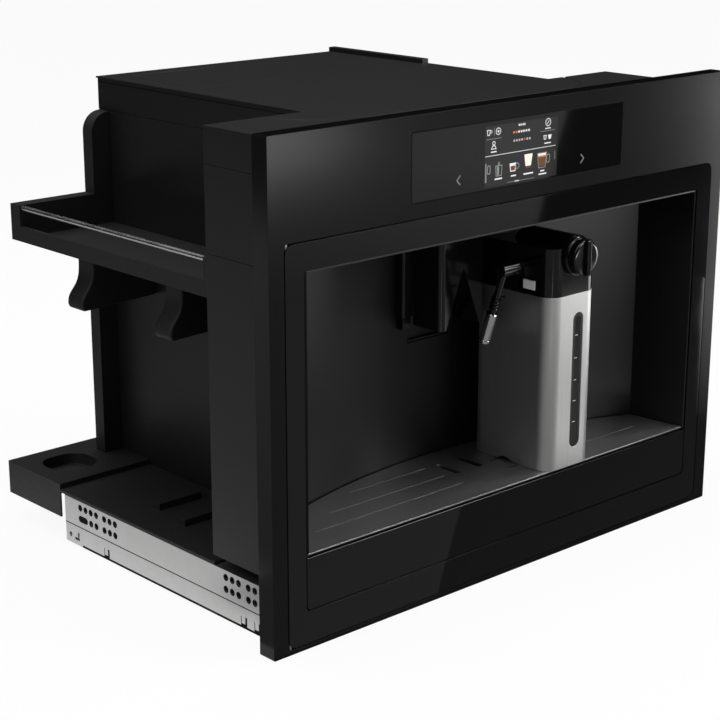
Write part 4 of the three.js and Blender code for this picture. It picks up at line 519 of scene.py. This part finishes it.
# What the display shows, in mm from the machine's middle and the control glass's lower edge. The
# symbols, the drinks and their places follow the photographed page, in simple outlines and bars.
picture = {
    "panel": {"low": (-49.4, 2.0), "high": (46.5, 56.5), "corner": 0.8, "rise": 0.05, "sunk": 0.02},
    "rise": 0.05, "sunk": 0.01, "dotSteps": 14,
    "arrow": {"x": 84.2, "z": 13.2, "reach": 4.4, "half": 4.2, "width": 0.95, "above": -0.03,
              "lap": 0.01},
    # each bar: its two ends, its height above the glass's edge and how thick it is
    "bars": [(-41.7, -34.4, 33.3, 1.1), (-6.3, -4.6, 54, 1.8), (-3.9, -2.4, 54, 1.8),
             (-1.2, 0.3, 54, 1.8), (1.0, 2.4, 54, 1.8), (29.2, 36.7, 46.9, 0.9),
             (28.6, 37.4, 33.4, 1.1), (-48.8, 43.9, 30, 0.5), (-36.2, -26.6, 8.3, 1.4),
             (-15.1, -8.4, 8.7, 1.3), (1.6, 14.3, 8.3, 1.4), (23.9, 29.6, 8.5, 1.2),
             (21.9, 32.4, 5.6, 1.2), (-9.9, -4.3, 3.4, 0.9)],
    "thinBars": [(-47.8, -28.5, 45.0, 0.45), (22.8, 42.2, 44.7, 0.45), (-19.6, 16.0, 3.4, 0.4)],
    "dotRows": [
        {"from": -12.4, "pitch": 3.3, "count": 7, "z": 48.0, "radius": 1.15, "rim": 0,
         "amber": (0, 1)},
        {"from": -11.6, "pitch": 3.4, "count": 7, "z": 40.4, "radius": 1.0, "rim": 0.45,
         "amber": (4,)},
    ],
    # each mark: its colour, its outline, and how wide its rim, how round and how proud it is
    "marks": [
        # upper left: cup, divider, ring with a dot, user; upper right: bean, and two cups
        ("White", [(-47.3, 53.5), (-42.7, 53.5), (-43.5, 48.4), (-46.5, 48.4)], {"rim": 0.7}),
        ("White", circle(-42.0, 51.6, 1.5, 14), {"rim": 0.5, "above": 0.01}),
        ("Grey", stroke((-37.7, 47.6), (-37.7, 54.8), 0.4), {}),
        ("White", circle(-32.6, 51.2, 3.3), {"rim": 0.7}),
        ("White", circle(-32.6, 51.2, 1.1, 12), {}),
        ("White", circle(-38.1, 41.0, 2.0, 14), {"rim": 0.7}),
        ("White", [(-41.7, 35.6), (-34.5, 35.6), (-36.4, 39.0), (-39.8, 39.0)], {"rim": 0.7}),
        ("White", circle(33.1, 52.4, 3.7), {"rim": 0.7}),
        ("White", stroke((31.9, 50.9), (34.3, 53.9), 0.7), {}),
        ("White", [(27.2, 40.8), (31.6, 40.8), (30.8, 36.8), (28.0, 36.8)], {"rim": 0.8}),
        ("White", [(33.4, 40.8), (38.2, 40.8), (37.2, 36.8), (34.2, 36.8)], {}),
        # the row of drinks: mug cut off by the edge, pot, espresso, milk coffee, long coffee in
        # a mug, and the edge of the next one
        ("Grey", [(-48.6, 23.6), (-47.2, 23.6), (-46.9, 6.5), (-48.6, 6.5)], {}),
        ("Grey", [(-46.2, 21.8), (-41.9, 21.8), (-41.9, 13.6), (-46.2, 13.6)],
         {"rim": 0.9, "corner": 1.6}),
        ("Grey", [(-35.6, 20.6), (-26.6, 20.6), (-27.3, 10.6), (-34.9, 10.6)], {"rim": 0.8}),
        ("Grey", [(-33.8, 19.4), (-30.6, 19.4), (-30.9, 11.8), (-33.3, 11.8)], {}),
        ("Grey", stroke((-31.1, 20.7), (-31.1, 23.4), 1.6), {}),
        ("White", [(-17.1, 20.3), (-8.4, 20.3), (-9.4, 12.6), (-16.0, 12.6)], {"rim": 0.9}),
        ("White", [(-16.1, 19.5), (-9.4, 19.5), (-9.6, 17.7), (-15.9, 17.7)], {"above": 0.01}),
        ("Brown", [(-15.8, 17.5), (-9.7, 17.5), (-10.2, 13.6), (-15.2, 13.6)], {}),
        ("Grey", circle(-7.2, 17.2, 2.9, 16), {"rim": 0.8, "above": 0.015}),
        ("Cream", [(2.2, 26.2), (13.2, 26.2), (11.2, 15.4), (4.0, 15.4)], {"corner": 0.6}),
        ("Brown", [(4.3, 15.0), (10.9, 15.0), (10.6, 13.4), (4.6, 13.4)], {}),
        ("Grey", [(19.4, 25.4), (32.6, 25.4), (30.8, 11.2), (21.4, 11.2)], {"rim": 0.7}),
        ("Cream", [(20.6, 24.6), (31.4, 24.6), (31.1, 22.6), (20.8, 22.6)], {}),
        ("Amber", [(20.9, 22.4), (31.0, 22.4), (30.9, 21.2), (21.0, 21.2)], {}),
        ("Brown", [(21.1, 21.0), (30.8, 21.0), (30.0, 12.8), (22.0, 12.8)], {}),
        ("Grey", [(32.2, 23.2), (37.0, 23.2), (36.2, 15.0), (31.4, 15.0)],
         {"rim": 0.8, "corner": 1.8, "above": 0.015}),
        ("Grey", stroke((43.2, 17.0), (43.2, 25.0), 0.6), {}),
    ],
}


def makeDisplay():
    glassLow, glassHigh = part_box("control_glass")
    face = glassLow.y / mm
    foot = glassLow.z / mm
    look = picture["panel"]
    lift = look["rise"] - picture["sunk"]
    colours = {name: bmesh.new() for name in ("White", "Grey", "Amber", "Cream", "Brown")}

    def draw(colour, points, rim=0, corner=0, above=0):
        plate(colours[colour], [(x, foot + z) for x, z in points], face - lift - above,
              picture["rise"], corner=corner, rim=rim)

    panel = bmesh.new()
    (x0, z0), (x1, z1) = look["low"], look["high"]
    plate(panel, [(x0, foot + z0), (x1, foot + z0), (x1, foot + z1), (x0, foot + z1)],
          face + look["sunk"], look["rise"] + look["sunk"], corner=look["corner"])

    for x0, x1, z, height in picture["bars"]:
        draw("White", stroke((x0, z), (x1, z), height))
    for x0, x1, z, height in picture["thinBars"]:
        draw("Grey", stroke((x0, z), (x1, z), height))
    for dots in picture["dotRows"]:
        for i in range(dots["count"]):
            x = dots["from"] + i * dots["pitch"]
            draw("Amber" if i in dots["amber"] else "White",
                 circle(x, dots["z"], dots["radius"], picture["dotSteps"]), rim=dots["rim"])
    for colour, points, shape in picture["marks"]:
        draw(colour, points, **shape)

    arrow = picture["arrow"]
    for side in (-1, 1):
        tip = (side * arrow["x"], arrow["z"])
        for rise in (-1, 1):
            end = (tip[0] - side * arrow["reach"], tip[1] + rise * arrow["half"])
            draw("Grey", stroke(tip, end, arrow["width"]),
                 above=arrow["above"] + arrow["lap"] * rise)
    addExtra("displayPanel", panel, "litGround", "control_glass")
    for colour, mesh in colours.items():
        addExtra("display" + colour, mesh, "lit" + colour, "control_glass")


# Painted shadow: a dead-black line laid where the control glass is let into the frame, for the
# shadow gap there.
glassSeal = {"outside": 1.1, "inside": 0.45, "rise": 0.02, "sunk": 0.3, "corner": 2.6, "steps": 4}


def makeGlassPaintedShadow():
    low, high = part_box("control_glass")
    out = glassSeal["outside"]
    x0, x1, z0, z1 = low.x / mm - out, high.x / mm + out, low.z / mm - out, high.z / mm + out
    mesh = bmesh.new()
    plate(mesh, [(x0, z0), (x1, z0), (x1, z1), (x0, z1)], low.y / mm + glassSeal["sunk"],
          glassSeal["sunk"] + glassSeal["rise"], corner=glassSeal["corner"],
          rim=out + glassSeal["inside"], steps=glassSeal["steps"])
    addExtra("glassSeal", mesh, "sealRubber", "control_glass")


# Froth knob: a skirt against the lid, a domed disc on it and a grip blade across the disc.
knob = {"centre": (77.25, 296.3), "seat": -20.5, "tip": -37.4, "gripRoot": -26.5,
        "gripHalf": 2.9, "gripReach": 17.2, "gripEase": 1.1, "gripSegments": 3, "steps": 72,
        "profile": [(0, 11.2), (4, 11.2), (4, 0), (18.4, 0), (19, -0.6), (19, -3.4), (18.5, -4.0),
                    (17.7, -4.2), (17.3, -4.8), (17.1, -11.0), (16.7, -12.0), (15.7, -12.7),
                    (13.6, -13.1), (0, -13.1)]}


def makeKnob():
    x, z = knob["centre"]
    seat = Vector((x, knob["seat"], z)) * mm
    mesh = bmesh.new()
    spun(mesh, knob["profile"], seat, (0, 1, 0), steps=knob["steps"])
    half, reach = knob["gripHalf"], knob["gripReach"]
    block(mesh, (x - half, knob["tip"], z - reach), (x + half, knob["gripRoot"], z + reach),
          ease=knob["gripEase"], segments=knob["gripSegments"])
    addPiece("frothKnob", mesh, "polishedPlastic", ["froth_knob"])


# Milk spout: a knuckle turning in the lid's arm, a thin tube down from it with four ribs and a
# lifting tab, and a polished tube pushed over its end.
spoutTube = {
    "pivot": (11.5, 10.8, 287.3), "lean": 18, "steps": 32, "sleeveSteps": 40,
    "tab": {"along": 32, "near": 3, "far": 12, "halfDepth": 1.5, "halfHeight": 1.6, "ease": 0.6},
    "knuckle": [(0, -6.0), (5.3, -6.0), (6.3, -5.4), (6.5, -4.4), (6.5, 17.0), (6.2, 17.8),
                (3.5, 18.0), (3.5, 25.1), (0, 25.1)],
    "tube": [(0, 1), (3.9, 1), (3.6, 12), (3.4, 29.6), (4.5, 30.0), (4.8, 30.6), (4.5, 31.4),
             (3.5, 31.9), (3.5, 32.9), (4.5, 33.3), (4.8, 34.0), (4.5, 34.8), (3.5, 35.3),
             (3.5, 36.3), (4.5, 36.7), (4.8, 37.4), (4.5, 38.2), (3.5, 38.7), (3.5, 39.7),
             (4.5, 40.1), (4.8, 40.8), (4.5, 41.6), (3.4, 42.1), (3.3, 76.0), (2.2, 76.0),
             (1.7, 75.4), (1.6, 60), (0, 60)],
    "sleeve": [(3.7, 46.6), (5.0, 46.6), (5.5, 47.2), (5.5, 73.4), (5.2, 73.8), (5.2, 75.2),
               (5.5, 75.6), (5.5, 78.4), (5.0, 79.0), (4.2, 79.0), (3.8, 78.4), (3.7, 46.6)],
}


def makeMilkSpout():
    pivot = Vector(spoutTube["pivot"]) * mm
    lean = math.radians(spoutTube["lean"])
    down = Vector((0, math.sin(lean), -math.cos(lean)))
    mesh = bmesh.new()
    spun(mesh, spoutTube["knuckle"], pivot, (1, 0, 0), steps=spoutTube["steps"])
    spun(mesh, spoutTube["tube"], pivot, down, steps=spoutTube["steps"])
    tab = spoutTube["tab"]
    x, y, z = (pivot + down * (tab["along"] * mm)) / mm
    deep, high = tab["halfDepth"], tab["halfHeight"]
    block(mesh, (x + tab["near"], y - deep, z - high), (x + tab["far"], y + deep, z + high),
          ease=tab["ease"])
    addPiece("milkSpout", mesh, "polishedPlastic", ["milk_spout"])
    sleeve = bmesh.new()
    spun(sleeve, spoutTube["sleeve"], pivot, down, steps=spoutTube["sleeveSteps"])
    addPiece("milkNozzle", sleeve, "turnedSteel", ["milk_nozzle"])


# The carafe's window: a black surround laid on the jar's rib, and level marks on the clear strip.
window = {"x": 83.55, "low": 103.5, "high": 239.5, "face": -19.8, "outerHalf": 6.6,
          "innerHalf": 3.7, "ribHalf": 7, "proud": 0.2, "sunk": 0.05, "steps": 10,
          "marks": (25.9, 47.3, 68.5, 90.8, 113.6), "markLength": 3.6, "markWidth": 0.6,
          "markInset": 0.3, "markProud": 0.04, "markSunk": 0.02}


def makeWindow():
    surround = bmesh.new()
    half = window["outerHalf"]
    slack = window["ribHalf"] - half
    x0, x1 = window["x"] - half, window["x"] + half
    z0, z1 = window["low"] + slack, window["high"] - slack
    sunk = window["sunk"]
    plate(surround, [(x0, z0), (x1, z0), (x1, z1), (x0, z1)], window["face"] + sunk,
          window["proud"] + sunk, corner=half - edging["roundShort"],
          rim=half - window["innerHalf"], steps=window["steps"])
    addExtra("windowSurround", surround, "coarsePlastic", "carafe_jar")
    marks = bmesh.new()
    left = window["x"] - window["innerHalf"] + window["markInset"]
    sunk = window["markSunk"]
    for height in window["marks"]:
        z = window["low"] + height
        plate(marks, stroke((left, z), (left + window["markLength"], z), window["markWidth"]),
              window["face"] + sunk, window["markProud"] + sunk)
    addExtra("levelMarks", marks, "paleAbs", "carafe_jar")


# Painted shadow: dead-black strips for the shadow line under the top cover's lip, along its left
# side, its rear and its right side.
lipSeam = {"top": 441.6, "height": 0.9, "left": -170.0, "right": 148.0, "front": 88.5,
           "rear": 403.8, "proud": 0.05, "sunk": 0.6, "short": 1, "ease": 0.02}


def makeLipPaintedShadow():
    look = lipSeam
    low, high = look["top"] - look["height"], look["top"]
    out, sunk, short, ease = look["proud"], look["sunk"], look["short"], look["ease"]
    left, right, front, rear = look["left"], look["right"], look["front"], look["rear"]
    mesh = bmesh.new()
    block(mesh, (left - out, front, low), (left + sunk, rear - short, high), ease=ease)
    block(mesh, (left + short, rear - sunk, low), (right - short, rear + out, high), ease=ease)
    block(mesh, (right - sunk, front, low), (right + out, rear - short, high), ease=ease)
    addExtra("lipSeam", mesh, "sealRubber", "top_cover")


# The grille's polished front bead, and under it a painted shadow: a dead-black strip for the shadow
# line.
grilleLip = {"low": 81.4, "high": 82.9, "proud": 0.05, "inset": 0.1, "sunk": 0.5, "ease": 0.02,
             "bead": {"low": 82.95, "high": 84.25, "sunk": 1.2, "ease": 0.5, "segments": 5}}


def makeGrilleLip():
    low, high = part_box("drip_grille")
    look, bead = grilleLip, grilleLip["bead"]
    x0, x1, front = low.x / mm + look["inset"], high.x / mm - look["inset"], low.y / mm
    mesh = bmesh.new()
    block(mesh, (x0, front - look["proud"], look["low"]), (x1, front + look["sunk"], look["high"]),
          ease=look["ease"])
    addExtra("grilleShadow", mesh, "sealRubber", "drip_grille")
    mesh = bmesh.new()
    block(mesh, (x0, front - look["proud"], bead["low"]), (x1, front + bead["sunk"], bead["high"]),
          ease=bead["ease"], segments=bead["segments"])
    addExtra("grilleBead", mesh, "turnedSteel", "drip_grille")


# Painted shadow: a dead-black strip that shows as the dark gap inside the door's left edge.
nicheSeal = {"low": (-260.2, -18.4, 84.5), "high": (-257.3, -17.0, 335.0), "ease": 0.2}


def makeNichePaintedShadow():
    mesh = bmesh.new()
    block(mesh, nicheSeal["low"], nicheSeal["high"], ease=nicheSeal["ease"])
    addExtra("nicheSeal", mesh, "sealRubber", "door_frame")


# What the rails show on their outer faces, in mm: painted shade round and inside the mounting holes
# of the moving channel, as dead-black rings and discs, and on the fixed one painted shade as
# dead-black strips along the seam, along the foot and round the tabs, and the stamped tongues.
railLook = {
    "face": 280.0, "front": 5.0, "rear": 328.6, "sunk": 0.1,
    "holes": {"rows": (41.3, 29.8), "pitch": 9.1,
              "groups": ((274.3, 4), (242.3, 3), (51.8, 3), (19.8, 3))},
    "bush": {"radius": 3.4, "rim": 1.0, "proud": 0.05, "floorAt": 1.4, "floor": 0.15},
    "slot": (292.5, 301.6),
    "seam": (19.9, 20.75), "foot": (0.1, 2.4), "footRear": 300.0, "shadowProud": 0.03,
    "tabs": {"at": (257.8, 44.8, 25.8), "half": 4.4, "top": 11.4},
    "tongue": {"half": 2.6, "shift": 0.8, "low": 4.6, "high": 15.7, "proud": 0.08},
}


def makeRailLooks():
    look = railLook
    holeShades, shadows, tongues = bmesh.new(), bmesh.new(), bmesh.new()

    # Adds a flat shape to the outer face of one side's rail, from its y and z in mm.
    def onSide(whole, side, points, proud, sunk=look["sunk"], **shape):
        mesh = bmesh.new()
        plate(mesh, [(side * y, z) for y, z in points], sunk - look["face"], sunk + proud, **shape)
        turn = Matrix.Rotation(side * math.pi / 2, 3, "Z")
        bmesh.ops.rotate(mesh, cent=(0, 0, 0), matrix=turn, verts=mesh.verts)
        part = bpy.data.meshes.new("part")
        mesh.to_mesh(part)
        mesh.free()
        whole.from_mesh(part)
        bpy.data.meshes.remove(part)

    def strip(whole, side, y0, y1, z0, z1, proud, corner=0):
        onSide(whole, side, [(y0, z0), (y1, z0), (y1, z1), (y0, z1)], proud, corner=corner)

    holes, bush, tabs, tongue = look["holes"], look["bush"], look["tabs"], look["tongue"]
    slotRow = holes["rows"][1]
    slotFront, slotRear = look["slot"]
    half, dark = bush["radius"], look["shadowProud"]
    for side in (-1, 1):
        for first, count in holes["groups"]:
            for z in holes["rows"]:
                for i in range(count):
                    y = first + i * holes["pitch"]
                    if z == slotRow and y > slotFront - holes["pitch"] / 2:
                        continue  # the slot takes in the last two
                    # painted shade: a dead-black ring round each hole and a dead-black disc down
                    # inside it
                    onSide(holeShades, side, circle(y, z, half), bush["proud"], rim=bush["rim"])
                    onSide(holeShades, side, circle(y, z, half - bush["rim"]), -bush["floorAt"],
                           sunk=bush["floorAt"] + bush["floor"])
        strip(holeShades, side, slotFront - half, slotRear + half, slotRow - half, slotRow + half,
              bush["proud"], corner=half - edging["roundShort"])
        # painted shade: dead-black strips along the seam, along the foot and round each tab
        strip(shadows, side, look["front"], look["rear"], *look["seam"], dark)
        strip(shadows, side, look["front"], look["footRear"], *look["foot"], dark)
        for y in tabs["at"]:
            strip(shadows, side, y - tabs["half"], y + tabs["half"], look["foot"][1], tabs["top"],
                  dark)
            middle = y + tongue["shift"]
            strip(tongues, side, middle - tongue["half"], middle + tongue["half"], tongue["low"],
                  tongue["high"], tongue["proud"])
    addExtra("railBushes", holeShades, "sealRubber", "left_rail_moving")
    addExtra("railShadows", shadows, "sealRubber", "left_rail_fixed")
    addExtra("railTongues", tongues, "zincPlate", "left_rail_fixed")


# How far each node's edges are eased, in mm, and the finishes that aren't their slot's usual one.
easeRadius = {
    "others": 0.4,
    "front_frame": 0.5, "door_frame": 0.8, "drip_grille": 0.35, "hook_front": 2.5, "hook_rear": 2.5,
    "carafe_lid": 0.9, "spout_cover": 0.8, "side_shelf": 1.2, "top_cover": 0.5,
    "casing_left": 0.8, "casing_right": 0.8, "casing_top": 0.8,
}
ownFinish = {
    "door_frame": "backPaintedGlass", "drip_tray_front": "backPaintedGlass",
    "niche_liner": "liningPlastic", "niche_column": "liningPlastic", "dock_panel": "liningPlastic",
    "drip_grille": "groundSteel", "spout_cover": "polishedPlastic",
}


def easeRemaining(made):
    for node in sorted(frame["nodes"]):
        if node in made:
            continue
        finish = ownFinish.get(node, slotFinish[slotOf[node]])
        radius = easeRadius.get(node, easeRadius["others"])
        addPiece(camel(node), eased(node, radius), finish, [node])


makeKnob()
makeMilkSpout()
makeWindow()
print("carafe's knob, spout and window made")
makeDisplay()
makeGlassPaintedShadow()
print("display made")
# The next four lay painted shadows as dead-black strips: under the top cover's lip, on the rails'
# faces, under the grille's bead and inside the door's left edge.
makeLipPaintedShadow()
makeRailLooks()
makeGrilleLip()
makeNichePaintedShadow()
print("seams, rails' faces and the grille's lip made")
easeRemaining({"froth_knob", "milk_spout", "milk_nozzle"})
print("remaining nodes eased")
